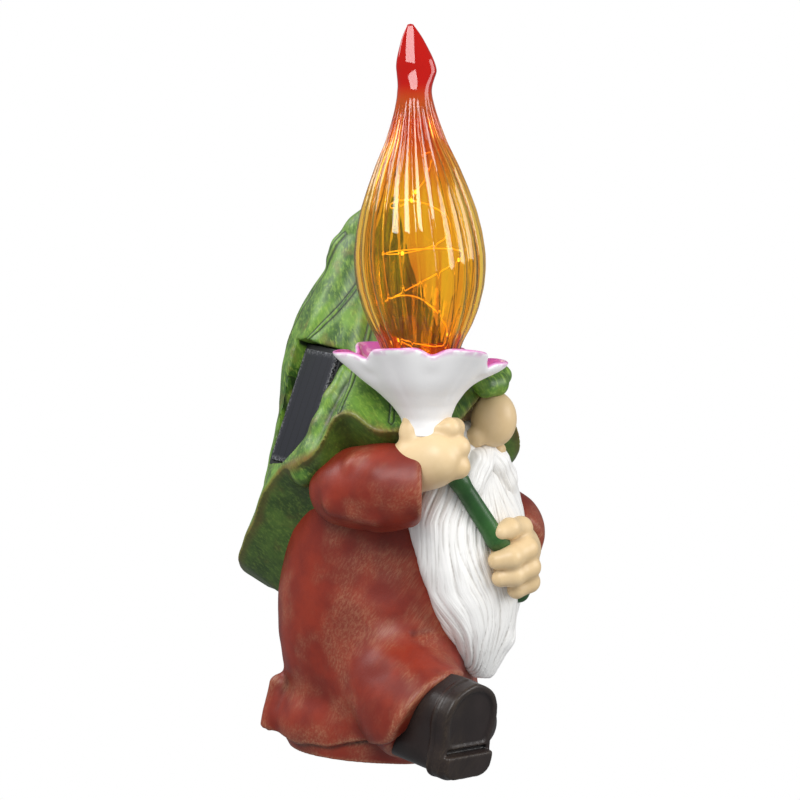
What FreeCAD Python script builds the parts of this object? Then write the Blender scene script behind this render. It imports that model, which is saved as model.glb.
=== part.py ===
"""Solar garden gnome: a cast figure with a leaf hat, holding a flower lamp with a blown glass flame.

Millimetres. +Z is up and the gnome faces -Y. The origin is on the ground, at the middle of the base plate.
Angles round the figure start at the front (-Y) and grow towards the gnome's right hand (-X).
"""

import FreeCAD, Part
import math
import os

V = FreeCAD.Vector

# ---- driving dimensions ---------------------------------------------------------------------
RING_POINTS = 40            # points on each ring of a cast shape

ROBE_WALL = 5.0             # thickness of the hollow casting
ROBE_BASE_X = 42.5          # half width of the robe at the ground
ROBE_BASE_Y = 42.5
ROBE_TOP = 131.0

HAT_WALL = 4.5              # casting thickness of the leaf hat
BRIM_EDGE = 2.6             # thickness of the leaf at its edge

FLOWER_X, FLOWER_Y = -41.0, -44.5    # axis of the flower and of the glass flame
FLOWER_NECK_Z = 143.0
FLOWER_RIM_Z = 180.0
PETALS = 6
PETAL_TURN = 48.0           # angle of the first petal notch, from the front
FLOWER_WALL = 2.2

GLASS_SEAT_Z = 166.0        # where the glass stands in the flower
GLASS_TIP_Z = 309.5
GLASS_WALL = 1.4
GLASS_LEAN = V(-1.8, 2.8, 0.0)       # how far the tip leans from the foot

STEM_RADIUS = 4.0
HAND_GAP = 0.25             # round the left hand, to the beard and to the stem

PANEL_LENGTH, PANEL_WIDTH, PANEL_THICK = 50.0, 30.0, 2.4
PANEL_CENTRE = V(-37.0, 17.2, 149.6)
PANEL_NORMAL = V(-0.823, 0.454, 0.345)
PANEL_GAP = 2.2             # between the panel and the wall of its pocket
POCKET_DEPTH = 5.5          # below the panel's face

BASE_PLATE_THICK = 3.0
CELL_RADIUS, CELL_LENGTH = 5.25, 44.5        # one AAA rechargeable cell
CASE_X, CASE_Y, CASE_Z = 54.0, 24.0, 13.5    # outside of the battery case
CASE_CENTRE_Y = 14.0
ROOM_X, ROOM_Y = 50.0, 12.0                  # space for the cell and its contacts
DOOR_X, DOOR_Y, DOOR_THICK = 50.0, 20.0, 2.0
DOOR_LIFT = 0.5             # height of the door's face above the ground
DOOR_GAP = 0.3
DOOR_SCREWS = [(-18.0, 6.4), (18.0, 21.6)]
SWITCH_Y = -20.0
SWITCH_X, SWITCH_DEPTH, SWITCH_HEIGHT = 11.0, 7.0, 5.0
SLIDER_TRAVEL = 3.0
BOARD_X, BOARD_Y, BOARD_THICK = 24.0, 18.0, 1.6
BOARD_CENTRE_Y = -17.0
BOSSES = [(-9.5, -10.8), (9.5, -10.8), (-9.5, -24.0), (9.5, -24.0)]

LEAD_RADIUS = 0.9


# ---- helpers --------------------------------------------------------------------------------
def around(angle, reach, height, centre=(0.0, 0.0)):
    """The point at an angle from the front, a distance out from a vertical axis and a height."""
    a = math.radians(angle)
    return V(centre[0] - reach * math.sin(a), centre[1] - reach * math.cos(a), height)


def closed_curve(points):
    """A smooth closed wire through the points."""
    curve = Part.BSplineCurve()
    curve.interpolate(points, True)
    return Part.Wire(curve.toShape())


def loft(rings, ruled=False):
    """A solid through closed rings of points; the first and last ring are flat."""
    solid = Part.makeLoft([closed_curve(r) for r in rings], True, ruled)
    if solid.Volume < 0:
        solid.reverse()
    return solid


def oval(centre, half_x, half_y, squareness=2.0):
    """A level ring: an ellipse, or a rounder box when squareness is above 2."""
    points = []
    for i in range(RING_POINTS):
        a = 2 * math.pi * i / RING_POINTS
        c, s = math.cos(a), math.sin(a)
        r = (abs(c) ** squareness + abs(s) ** squareness) ** (-1.0 / squareness)
        points.append(V(centre[0] + half_x * r * c, centre[1] + half_y * r * s, centre[2]))
    return points


def stack(levels, squareness=2.0, shrink=0.0):
    """A solid through level ovals, each given as height, centre x, centre y, half x, half y."""
    return loft([oval((x, y, z), hx - shrink, hy - shrink, squareness) for z, x, y, hx, hy in levels])


def limb(stations, flat=1.0):
    """A solid along a path. Each station is a centre and a radius; flat is height over width."""
    rings = []
    centres = [V(*c) for c, _ in stations]
    for i, (_, radius) in enumerate(stations):
        ahead = centres[min(i + 1, len(centres) - 1)] - centres[max(i - 1, 0)]
        ahead.normalize()
        side = ahead.cross(V(0, 0, 1))
        if side.Length < 1e-6:
            side = V(1, 0, 0)
        side.normalize()
        rise = side.cross(ahead)
        ring = []
        for k in range(24):
            a = 2 * math.pi * k / 24
            ring.append(centres[i] + side * (radius * math.cos(a)) + rise * (radius * flat * math.sin(a)))
        rings.append(ring)
    return loft(rings)


def egg(centre, radii, turns=()):
    """An ellipsoid. turns is a list of an axis and an angle in degrees."""
    ball = Part.makeSphere(1.0)
    m = FreeCAD.Matrix()
    m.scale(V(*radii))
    solid = ball.transformGeometry(m)
    for axis, angle in turns:
        solid.rotate(V(0, 0, 0), V(*axis), angle)
    solid.translate(V(*centre))
    return solid


def cylinder(start, end, radius):
    """A round bar between two points."""
    start, end = V(*start), V(*end)
    return Part.makeCylinder(radius, (end - start).Length, start, end - start)


def box(centre, size):
    """A box by its centre and its three sizes."""
    corner = V(centre[0] - size[0] / 2, centre[1] - size[1] / 2, centre[2] - size[2] / 2)
    return Part.makeBox(size[0], size[1], size[2], corner)


def lead(points, radius):
    """A wire of straight runs joined by tangent arcs, as large as the runs beside them allow."""
    p = [V(*q) for q in points]
    edges, start, radii = [], p[0], []
    for i in range(1, len(p) - 1):
        a, b = p[i - 1] - p[i], p[i + 1] - p[i]
        run = min(a.Length, b.Length)
        a.normalize()
        b.normalize()
        turn = math.pi - a.getAngle(b)
        reach = 0.45 * run
        radii.append(round(reach / math.tan(turn / 2), 1))
        first, last = p[i] + a * reach, p[i] + b * reach
        bisector = a + b
        bisector.normalize()
        arc_radius = reach / math.tan(turn / 2)
        middle = p[i] + bisector * (arc_radius / math.cos(turn / 2) - arc_radius)
        edges.append(Part.LineSegment(start, first).toShape())
        edges.append(Part.Arc(first, middle, last).toShape())
        start = last
    edges.append(Part.LineSegment(start, p[-1]).toShape())
    path = Part.Wire(edges)
    section = Part.Wire(Part.Circle(p[0], p[1] - p[0], radius).toShape())
    solid = path.makePipeShell([section], True, False)
    print("lead length %.1f radii %s volume ratio %.3f" % (
        path.Length, radii, solid.Volume / (math.pi * radius * radius * path.Length)))
    return solid


def cut_all(solid, tools):
    """The solid with each tool cut away, keeping its largest piece."""
    for tool in tools:
        solid = solid.cut(tool)
        if len(solid.Solids) > 1:
            solid = max(solid.Solids, key=lambda s: s.Volume)
    return solid


def between(table, value):
    """The row of a table at a value of its first column, by straight lines; the column falls."""
    for upper, lower in zip(table, table[1:]):
        if value >= lower[0]:
            share = (upper[0] - value) / (upper[0] - lower[0])
            share = max(0.0, share)
            return [u + (v - u) * share for u, v in zip(upper[1:], lower[1:])]
    return list(table[-1][1:])


# ---- the robe and what it stands on ---------------------------------------------------------
ROBE_LEVELS = [             # height, centre x, centre y, half x, half y
    (0.0, 0.0, -3.5, ROBE_BASE_X, ROBE_BASE_Y),
    (6.0, 0.0, 0.0, ROBE_BASE_X + 4.0, ROBE_BASE_Y + 5.0),
    (13.0, 0.0, 2.0, ROBE_BASE_X + 4.5, ROBE_BASE_Y + 6.0),
    (21.0, 0.0, 1.0, ROBE_BASE_X + 3.0, ROBE_BASE_Y + 4.0),
    (31.0, 0.0, -1.0, ROBE_BASE_X + 2.0, ROBE_BASE_Y + 1.5),
    (48.0, 0.0, -1.0, ROBE_BASE_X + 4.0, ROBE_BASE_Y + 4.0),
    (68.0, 0.0, -1.0, ROBE_BASE_X + 4.0, ROBE_BASE_Y + 4.0),
    (90.0, 0.0, -1.0, ROBE_BASE_X + 1.0, ROBE_BASE_Y + 1.0),
    (110.0, 0.0, -1.5, ROBE_BASE_X - 3.0, ROBE_BASE_Y - 4.0),
    (124.0, 0.0, -3.0, ROBE_BASE_X - 12.5, ROBE_BASE_Y - 13.5),
    (ROBE_TOP, 0.0, -4.0, ROBE_BASE_X - 24.5, ROBE_BASE_Y - 25.5),
]
CAVITY_LEVELS = [
    (-1.0, 0.0, 0.0, ROBE_BASE_X - ROBE_WALL, ROBE_BASE_Y - ROBE_WALL),
    (30.0, 0.0, -1.0, ROBE_BASE_X - ROBE_WALL, ROBE_BASE_Y - ROBE_WALL),
    (60.0, 0.0, -1.0, ROBE_BASE_X - ROBE_WALL, ROBE_BASE_Y - ROBE_WALL),
    (88.0, 0.0, -1.0, ROBE_BASE_X - 10.0, ROBE_BASE_Y - 10.0),
    (104.0, 0.0, -2.0, ROBE_BASE_X - 22.0, ROBE_BASE_Y - 22.0),
]


def robe_solid():
    """The robe: a hollow bell with the right leg stepping out of it and a flared hem."""
    bell = stack(ROBE_LEVELS, 2.15)
    leg = limb([((-20.0, -10.0, 46.0), 24.0), ((-28.0, -26.0, 36.0), 25.0),
                ((-36.0, -39.0, 26.0), 24.0), ((-40.0, -48.0, 21.5), 22.0)], 0.92)
    under = Part.makeBox(400, 400, 60, V(-200, -200, -60))
    return bell.fuse(leg).cut(under)


def base_plate():
    """The plate that closes the casting, with openings for the battery door and the switch."""
    rim = ROBE_WALL + 0.3
    plate = stack([(z, 0.0, 0.0, ROBE_BASE_X - rim, ROBE_BASE_Y - rim)
                   for z in (0.0, BASE_PLATE_THICK)], 2.15)
    for x, y in BOSSES:
        boss = Part.makeCylinder(2.0, SWITCH_HEIGHT, V(x, y, BASE_PLATE_THICK))
        plate = plate.fuse(boss)
    door = box((0, CASE_CENTRE_Y, 1.5), (DOOR_X + 2 * DOOR_GAP, DOOR_Y + 2 * DOOR_GAP, 10))
    slot = box((0, SWITCH_Y, 1.5), (6.6, 2.8, 10))
    return cut_all(plate, [door, slot])


# ---- the leaf hat ---------------------------------------------------------------------------
HAT_CONE = [                # height, centre y, half x, half y
    (237.0, 3.0, 1.5, 1.5),
    (231.0, 4.0, 6.0, 7.0),
    (222.0, 6.5, 11.0, 13.0),
    (212.0, 8.5, 15.0, 18.0),
    (200.0, 10.0, 20.5, 23.0),
    (188.0, 9.5, 27.0, 31.0),
    (178.0, 8.0, 31.5, 37.0),
    (165.0, 5.5, 37.0, 41.0),
    (150.0, 3.0, 42.0, 44.5),
    (136.0, 2.5, 45.0, 47.5),
    (110.0, 2.5, 49.0, 54.0),
    (60.0, 2.5, 53.0, 58.0),
]
SPLIT_Z = 188.0             # above this the hat's rings are level; below they dip to the edge
BRIM = [                    # angle, reach and height of the leaf's edge
    (-170.0, 67.0, 72.0), (-150.0, 66.0, 76.0), (-128.0, 60.0, 98.0), (-112.0, 57.0, 116.0),
    (-98.0, 56.5, 126.0), (-86.0, 61.0, 137.0), (-74.0, 61.0, 147.0), (-60.0, 60.0, 134.0),
    (-46.0, 60.5, 122.0), (-32.0, 55.0, 136.0), (-16.0, 55.0, 155.0), (0.0, 54.0, 161.0),
    (14.0, 48.0, 149.0), (30.0, 48.0, 142.0), (44.0, 51.0, 140.0), (58.0, 61.0, 141.0),
    (72.0, 61.0, 151.0), (81.0, 62.5, 143.0), (92.0, 57.5, 130.0), (108.0, 56.0, 124.0),
    (124.0, 57.0, 110.0), (137.0, 60.0, 93.0), (152.0, 66.0, 75.0), (170.0, 68.0, 70.0),
]


def brim_at(angle):
    """Reach and height of the leaf's edge at an angle, smoothed between its points."""
    angle = (angle + 170.0) % 360.0 - 170.0
    rows = BRIM + [(BRIM[0][0] + 360.0,) + BRIM[0][1:]]
    for low, high in zip(rows, rows[1:]):
        if low[0] <= angle <= high[0]:
            share = (angle - low[0]) / (high[0] - low[0])
            share = share * share * (3 - 2 * share)
            return [p + (q - p) * share for p, q in zip(low[1:], high[1:])]
    return list(BRIM[0][1:])


def cone_point(angle, height, inset):
    """A point on the hat's cone at an angle from the front."""
    centre_y, half_x, half_y = between(HAT_CONE, height)
    a = math.radians(angle)
    return V(-(half_x - inset) * math.sin(a), centre_y - (half_y - inset) * math.cos(a), height)


def crown_ring(height, inset=0.0):
    """A level ring of the hat's crown."""
    return [cone_point(360.0 * i / RING_POINTS, height, inset) for i in range(RING_POINTS)]


def skirt_ring(share, inset=0.0):
    """A ring of the hat's skirt, from the crown (0) to the leaf's edge (1), set in by inset."""
    points = []
    for i in range(RING_POINTS):
        angle = 360.0 * i / RING_POINTS
        reach, low = brim_at(angle)
        height = SPLIT_Z + (low - SPLIT_Z) * share
        flare = max(0.0, (share - 0.6) / 0.4) ** 1.6
        cone = cone_point(angle, height, inset)
        edge = around(angle, reach - inset, height)
        points.append(cone * (1 - flare) + edge * flare)
    return points


def hat_solid():
    """The leaf: a thick shell from the crown out to its ruffled edge and back inside."""
    outer = [crown_ring(row[0]) for row in HAT_CONE if row[0] > SPLIT_Z]
    outer += [skirt_ring(s) for s in (0.0, 0.2, 0.4, 0.55, 0.68, 0.78, 0.87, 0.94, 1.0)]
    inner = [skirt_ring(s, d) for s, d in ((0.985, BRIM_EDGE), (0.92, 3.4), (0.84, 4.0), (0.74, HAT_WALL),
                                           (0.6, HAT_WALL + 0.5), (0.4, HAT_WALL + 1), (0.15, HAT_WALL + 1.5))]
    inner += [crown_ring(SPLIT_Z, HAT_WALL + 2), crown_ring(200.0, HAT_WALL + 3), crown_ring(210.0, HAT_WALL + 4)]
    shell = loft(outer + inner, True)
    finial = egg((0.0, 13.0, 221.5), (5.0, 11.0, 5.0), [((1, 0, 0), -28)])
    return shell.fuse(finial)


def panel_place(solid):
    """Moves a solid drawn with its face up at the origin to the panel's place on the hat."""
    normal = V(PANEL_NORMAL)
    normal.normalize()
    across = V(0, 0, 1).cross(normal)
    across.normalize()
    along = normal.cross(across)
    m = FreeCAD.Matrix(across.x, along.x, normal.x, PANEL_CENTRE.x,
                       across.y, along.y, normal.y, PANEL_CENTRE.y,
                       across.z, along.z, normal.z, PANEL_CENTRE.z, 0, 0, 0, 1)
    solid.transformShape(m)
    return solid


def pocket():
    """The hole in the leaf that the panel's tray is glued into; the leaf laps over its low end."""
    width, length = PANEL_WIDTH + 2 * PANEL_GAP, PANEL_LENGTH + 2 * PANEL_GAP
    upper = box((0, 7.0, 15.0 - POCKET_DEPTH / 2), (width, length - 14.0, 30.0 + POCKET_DEPTH))
    lower = box((0, 0, 1.25 - POCKET_DEPTH / 2), (width, length, 2.5 + POCKET_DEPTH))
    return panel_place(upper.fuse(lower))


def panel_block():
    """The thickened casting behind the panel."""
    return panel_place(box((0, 0, -POCKET_DEPTH - 1.0), (PANEL_WIDTH + 9, PANEL_LENGTH + 6, 8.0)))


def panel_parts():
    """The tray, the panel in it and the panel's two solder tabs."""
    width, length = PANEL_WIDTH + 2 * PANEL_GAP - 0.4, PANEL_LENGTH + 2 * PANEL_GAP - 0.4
    height = POCKET_DEPTH - 0.4
    tray = box((0, 0, -PANEL_THICK - 0.6 - 0.2), (width, length, height - PANEL_THICK + 1.2))
    seat = box((0, 0, -PANEL_THICK / 2 + 0.6), (PANEL_WIDTH + 0.4, PANEL_LENGTH + 0.4, PANEL_THICK + 1.2))
    tray = tray.cut(seat)
    hole = Part.makeCylinder(2.0, 12.0, V(0, 18, -10))
    tray = tray.cut(hole)
    panel = box((0, 0, -PANEL_THICK / 2), (PANEL_WIDTH, PANEL_LENGTH, PANEL_THICK))
    return panel_place(tray), panel_place(panel)


# ---- the flower lamp ------------------------------------------------------------------------
FLOWER_PROFILE = [          # share of the height, reach of a petal, reach of a notch
    (0.0, 10.6, 10.6), (0.06, 10.3, 10.3), (0.2, 10.6, 10.4), (0.36, 13.6, 13.2), (0.52, 18.6, 17.6),
    (0.68, 25.5, 22.5), (0.84, 31.5, 26.5), (0.95, 36.0, 28.5), (1.0, 37.6, 29.0),
]


def flower_ring(share, inset, lift=0.0):
    """One ring of the flower, set in from the outside by inset."""
    for low, high in zip(FLOWER_PROFILE, FLOWER_PROFILE[1:]):
        if share <= high[0]:
            s = (share - low[0]) / (high[0] - low[0])
            petal, notch = (low[k] + (high[k] - low[k]) * s for k in (1, 2))
            break
    points = []
    for i in range(60):
        angle = 360.0 * i / 60
        wave = abs(math.cos(math.radians((angle - PETAL_TURN) * PETALS / 2.0)))
        reach = petal + (notch - petal) * wave ** 2 - inset
        height = FLOWER_NECK_Z + (FLOWER_RIM_Z - FLOWER_NECK_Z) * share + lift
        points.append(around(angle, reach, height, (FLOWER_X, FLOWER_Y)))
    return points


def flower_solid():
    """The trumpet of the flower, open at the top, with a floor that the lamp plug stands on."""
    shares = [row[0] for row in FLOWER_PROFILE]
    outer = [flower_ring(s, 0.0) for s in shares]
    inner = [flower_ring(s, FLOWER_WALL, 1.2 * s) for s in reversed(shares) if s > 0.3]
    cup = loft(outer + inner, True)
    wire_hole = Part.makeCylinder(1.6, 60, V(FLOWER_X, FLOWER_Y, FLOWER_NECK_Z - 20))
    return cup.cut(wire_hole)


GLASS_PROFILE = [           # height, reach
    (GLASS_SEAT_Z, 12.5), (171.0, 14.2), (176.0, 16.0), (180.7, 17.8), (186.4, 21.0), (193.7, 23.9),
    (202.6, 26.2), (210.0, 27.0), (216.4, 27.0), (225.4, 25.8), (234.3, 23.7), (243.3, 20.6),
    (252.6, 16.9), (261.5, 12.7), (268.9, 10.1), (274.1, 8.5), (279.8, 7.1), (284.0, 6.8),
]
TIP_PROFILE = [             # height, half width, half depth, sideways shift
    (284.0, 6.8, 6.8, 0.0), (287.0, 7.1, 6.2, 0.3), (290.6, 7.8, 5.4, 0.9), (294.0, 7.3, 4.8, 0.8),
    (298.0, 6.0, 4.2, 0.2), (304.0, 3.8, 3.2, -0.6), (307.5, 2.0, 1.8, -0.9), (GLASS_TIP_Z, 0.5, 0.5, -0.9),
]
TIP_TURN = 57.0             # the flat tip's width lies square to this angle


def glass_axis(height):
    """The middle of the flame at a height; it leans more towards its tip."""
    share = max(0.0, (height - GLASS_SEAT_Z) / (GLASS_TIP_Z - GLASS_SEAT_Z))
    return V(FLOWER_X, FLOWER_Y, height) + GLASS_LEAN * share ** 1.5


def glass_ring(height, half_width, half_depth, shift=0.0):
    """A level ring of the flame, whose flat tip is turned by TIP_TURN."""
    a = math.radians(TIP_TURN)
    wide = V(math.cos(a), -math.sin(a), 0)
    deep = V(math.sin(a), math.cos(a), 0)
    centre = glass_axis(height) + wide * shift
    ring = []
    for i in range(RING_POINTS):
        t = 2 * math.pi * i / RING_POINTS
        ring.append(centre + wide * (half_width * math.cos(t)) + deep * (half_depth * math.sin(t)))
    return ring


def glass_solid():
    """The flame: a thin drop that is open at its foot, with a solid flattened tip."""
    outer = [glass_ring(z, r, r) for z, r in GLASS_PROFILE]
    outer += [glass_ring(*row) for row in TIP_PROFILE[1:]]
    inner = [glass_ring(z, r - GLASS_WALL, r - GLASS_WALL) for z, r in GLASS_PROFILE[1:-1]]
    foot = GLASS_PROFILE[0][1] - GLASS_WALL - 0.4
    inner.insert(0, glass_ring(GLASS_SEAT_Z - 1.0, foot, foot))
    return loft(outer).cut(loft(inner))


def lamp_parts():
    """The plug that closes the glass and holds the fairy lights, and the string of lights."""
    plug = Part.makeCylinder(10.2, 6.0, V(FLOWER_X, FLOWER_Y, GLASS_SEAT_Z - 7.5))
    collar = Part.makeCylinder(10.6, 4.6, V(FLOWER_X, FLOWER_Y, GLASS_SEAT_Z - 1.5))
    plug = plug.fuse(collar)
    plug = plug.cut(Part.makeCylinder(1.3, 20, V(FLOWER_X, FLOWER_Y, GLASS_SEAT_Z - 9)))
    points, beads = [], []
    turns, low, high = 3.5, GLASS_SEAT_Z + 3.5, 262.0
    count = 46
    for i in range(count + 1):
        s = i / count
        height = low + (high - low) * s
        reach = 2.0 + 13.0 * math.sin(math.pi * s) ** 0.8 * (1 - 0.35 * s)
        points.append(around(360 * turns * s + 25 * math.sin(7 * s), reach, height, (FLOWER_X, FLOWER_Y)))
    curve = Part.BSplineCurve()
    curve.interpolate(points)
    path = Part.Wire(curve.toShape())
    start = curve.tangent(curve.FirstParameter)[0]
    section = Part.Wire(Part.Circle(points[0], start, 0.35).toShape())
    wire = path.makePipeShell([section], True, True)
    for i in range(4, count, 6):
        beads.append(Part.makeSphere(1.1, points[i]))
    string = wire
    for bead in beads:
        string = string.fuse(bead)
    return plug, string


STEM_PATH = [(FLOWER_X, FLOWER_Y, FLOWER_NECK_Z), (-38.0, -46.5, 136.0), (-32.5, -50.0, 129.5),
             (-25.5, -54.0, 121.5), (-10.1, -62.2, 96.5), (0.0, -64.3, 86.5), (8.5, -61.5, 77.0),
             (13.0, -59.0, 71.5), (16.0, -57.0, 65.0)]


def stem_solid(spare=0.0):
    """The flower's stem, which swells to a rounded foot below the left hand. It can be drawn thicker."""
    radii = [STEM_RADIUS * k + spare for k in (0.9, 0.95, 0.95, 0.95, 1.05, 1.1, 1.25, 1.4, 0.9)]
    return limb(list(zip(STEM_PATH, radii)))


# ---- face, beard, arms and boots ------------------------------------------------------------
def head_solid():
    """The head inside the hat."""
    return egg((0.0, -14.0, 147.0), (28.0, 29.0, 31.0))


def beard_solid():
    """The beard: a pad over the belly that narrows to a tip between the boots."""
    levels = [(36.0, 3.0, -47.0, 3.0, 3.5), (42.0, 2.5, -48.0, 9.0, 6.0), (52.0, 1.5, -48.5, 18.0, 9.0),
              (66.0, 1.0, -47.5, 27.0, 12.5), (84.0, 0.0, -45.5, 34.0, 14.5), (102.0, 0.0, -42.0, 37.0, 16.5),
              (118.0, 0.0, -38.0, 33.0, 17.0), (131.0, 0.0, -36.0, 25.0, 15.0), (139.0, 0.0, -36.0, 15.0, 11.0)]
    return stack(levels, 2.3)


def moustache_solid():
    """Two lobes of moustache that meet under the nose."""
    lobes = []
    for side in (-1, 1):
        lobes.append(limb([((side * 0.5, -50.0, 132.0), 4.0), ((side * 8.0, -49.5, 129.0), 6.0),
                           ((side * 15.0, -48.0, 121.0), 7.0), ((side * 20.5, -45.5, 111.0), 6.0),
                           ((side * 24.0, -43.5, 102.0), 2.5)], 1.0))
    return lobes[0].fuse(lobes[1])


def right_sleeve():
    """The right sleeve, from the shoulder to the cuff."""
    return limb([((-32.0, 6.0, 124.0), 13.0), ((-42.0, -4.0, 124.0), 16.5), ((-47.5, -18.0, 122.5), 17.5),
                 ((-49.0, -33.0, 122.5), 17.0), ((-45.5, -47.5, 123.0), 16.0)], 0.98)


def left_sleeve():
    """The left sleeve: its forearm and its shoulder."""
    forearm = limb([((43.5, -7.0, 112.0), 14.0), ((47.0, -21.0, 101.0), 15.5),
                    ((43.5, -36.0, 91.5), 14.5), ((34.0, -46.5, 86.5), 12.0)], 0.98)
    shoulder = Part.makeSphere(14.0, V(38.5, -1.0, 113.5))
    return forearm, shoulder


def right_hand():
    """The right hand: a closed fist round the stem, just under the flower."""
    palm = egg((-41.0, -50.5, 136.0), (11.5, 14.5, 14.0), [((0, 0, 1), -30)])
    thumb = limb([((-43.5, -43.0, 138.0), 5.5), ((-46.0, -42.5, 145.0), 5.2), ((-46.5, -43.0, 150.0), 2.6)])
    hand = palm.fuse(thumb)
    for x, y, z in ((-36.0, -56.0, 145.0), (-34.5, -58.0, 138.0), (-34.5, -58.0, 130.5)):
        hand = hand.fuse(egg((x, y, z), (6.0, 6.5, 4.6)))
    return hand


def left_hand(spare=0.0):
    """The left hand: a fist round the lower stem, and its wrist. It can be drawn larger by a spare width."""
    fist = egg((2.5, -62.5, 88.0), (13.5 + spare, 10.0 + spare, 14.5 + spare), [((0, 1, 0), 25)])
    thumb = limb([((11.0, -63.0, 97.0), 4.8 + spare), ((4.0, -65.5, 100.5), 4.4 + spare),
                  ((-2.0, -66.0, 99.5), 2.4 + spare)])
    wrist = egg((17.0, -58.0, 88.0), (15.0 + spare, 9.0 + spare, 9.0 + spare), [((0, 0, 1), 25)])
    return fist.fuse(wrist).fuse(thumb)


BOOT_HEEL = V(-41.0, -65.0, 0.0)     # where the raised boot's heel meets the ground
BOOT_SPLAY = 9.0
BOOT_LEAN = 9.0
BOOT_ROLL = -4.0
BOOT_OUTLINE = [            # along the sole from the heel, half width
    (0.0, 10.0), (2.0, 14.0), (8.0, 15.8), (15.0, 15.6), (25.0, 17.0), (34.0, 15.5), (39.5, 9.5),
]


def sole_ring(depth, grow, squash=1.0):
    """The sole's outline, depth behind its face, grown outwards and shortened from the toe."""
    right = [(w + grow, y * squash) for y, w in BOOT_OUTLINE]
    points = [(0.0, -grow)] + right + [(0.0, 41.0 * squash + grow)] + [(-w, y) for w, y in reversed(right)]
    return [V(x, y, -depth) for x, y in points]


def boot_frame(solid, heel, splay, lean, roll):
    """Stands a boot drawn sole up on its heel and turns it."""
    solid.rotate(V(0, 0, 0), V(0, 0, 1), roll)
    solid.rotate(V(0, 0, 0), V(1, 0, 0), 90 + lean)
    solid.rotate(V(0, 0, 0), V(0, 0, 1), -splay)
    solid.translate(heel)
    return solid


def right_boot():
    """The raised boot, on its heel with its sole to the front."""
    sole = loft([sole_ring(0.0, -1.0), sole_ring(1.5, 0.0), sole_ring(6.0, 0.4)])
    upper = loft([sole_ring(5.8, -0.6), sole_ring(12.0, 0.8, 1.05), sole_ring(20.0, 0.0, 1.0),
                  sole_ring(32.0, -2.0, 0.82)])
    heel_block = Part.makeBox(27.0, 11.0, 3.0, V(-13.5, 1.0, -0.5))
    boot = sole.fuse(upper).fuse(heel_block)
    boot = boot_frame(boot, BOOT_HEEL, BOOT_SPLAY, BOOT_LEAN, BOOT_ROLL)
    return boot.cut(Part.makeBox(400, 400, 60, V(-200, -200, -60)))


def left_boot():
    """The standing boot, flat on the ground under the robe."""
    rings = []
    for z, grow in ((0.0, 0.96), (2.0, 1.0), (6.0, 1.0), (14.0, 0.93), (21.0, 0.75)):
        rings.append([V(20.0 + p.x * 0.85 * grow, -20.0 - (p.y - 20.0) * 1.06 * grow, z)
                      for p in sole_ring(0.0, 0.0)])
    return loft(rings).cut(box((20.0, 0.0, 15.0), (60.0, 60.0, 40.0)))


# ---- works in the base ----------------------------------------------------------------------
def battery_parts():
    """The battery case, the cell, its contacts, the door and the door's screws."""
    floor = BASE_PLATE_THICK
    case = box((0, CASE_CENTRE_Y, floor + CASE_Z / 2), (CASE_X, CASE_Y, CASE_Z))
    room = box((0, CASE_CENTRE_Y, floor + 6.0), (ROOM_X, ROOM_Y, 12.2))
    case = case.cut(room)
    height = floor + 0.5 + CELL_RADIUS
    inside = ROOM_X / 2
    tip = inside - 1.4
    tail = tip - CELL_LENGTH
    can = cylinder((tail, CASE_CENTRE_Y, height), (tip - 1.0, CASE_CENTRE_Y, height), CELL_RADIUS)
    nub = cylinder((tip - 1.2, CASE_CENTRE_Y, height), (tip, CASE_CENTRE_Y, height), 1.9)
    cell = can.fuse(nub)
    bump = cylinder((tip + 0.05, CASE_CENTRE_Y, height), (inside - 0.5, CASE_CENTRE_Y, height), 1.6)
    plus = box((inside - 0.3, CASE_CENTRE_Y, height), (0.6, 8.0, 8.0)).fuse(bump)
    minus = box((-inside + 0.3, CASE_CENTRE_Y, height), (0.6, 8.0, 8.0))
    slots = []
    for side in (-1, 1):
        tab = box((side * (inside - 0.3), CASE_CENTRE_Y, 14.0), (0.6, 3.0, 8.0))
        slots.append(box((side * (inside - 0.3), CASE_CENTRE_Y, 15.0), (0.8, 3.2, 6.0)))
        if side > 0:
            plus = plus.fuse(tab)
        else:
            minus = minus.fuse(tab)
    gap = tail - (-inside + 0.6)
    helix = Part.makeHelix((gap - 0.7) / 3.0, gap - 0.7, 2.6)
    section = Part.Wire(Part.Circle(V(2.6, 0, 0), V(0, 1, 0), 0.25).toShape())
    coil = Part.Wire(helix).makePipeShell([section], True, True)
    coil.rotate(V(0, 0, 0), V(0, 1, 0), 90)
    coil.translate(V(-inside + 0.95, CASE_CENTRE_Y, height))
    door = box((0, CASE_CENTRE_Y, DOOR_LIFT + DOOR_THICK / 2), (DOOR_X, DOOR_Y, DOOR_THICK))
    screws = []
    for x, y in DOOR_SCREWS:
        screws.append(screw(x, y, DOOR_LIFT, 8.0))
        case = case.cut(Part.makeCylinder(1.35, 9.0, V(x, y, 1.0)))
        door = door.cut(Part.makeCylinder(2.4, 1.1, V(x, y, DOOR_LIFT - 0.1)))
        door = door.cut(Part.makeCylinder(1.05, 5.0, V(x, y, 0)))
    for slot in slots:
        case = case.cut(slot)
    finger = box((0, CASE_CENTRE_Y - DOOR_Y / 2, DOOR_LIFT), (8.0, 2.4, 1.4))
    return case, cell, plus, minus, coil, door.cut(finger), Part.makeCompound(screws)


def screw(x, y, low, length):
    """A small screw with its slotted head down."""
    head = Part.makeCylinder(2.1, 1.0, V(x, y, low))
    shank = Part.makeCylinder(1.05, length, V(x, y, low + 0.9))
    slot = box((x, y, low), (3.0, 0.6, 0.9)).fuse(box((x, y, low), (0.6, 3.0, 0.9)))
    return head.fuse(shank).cut(slot)


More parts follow.
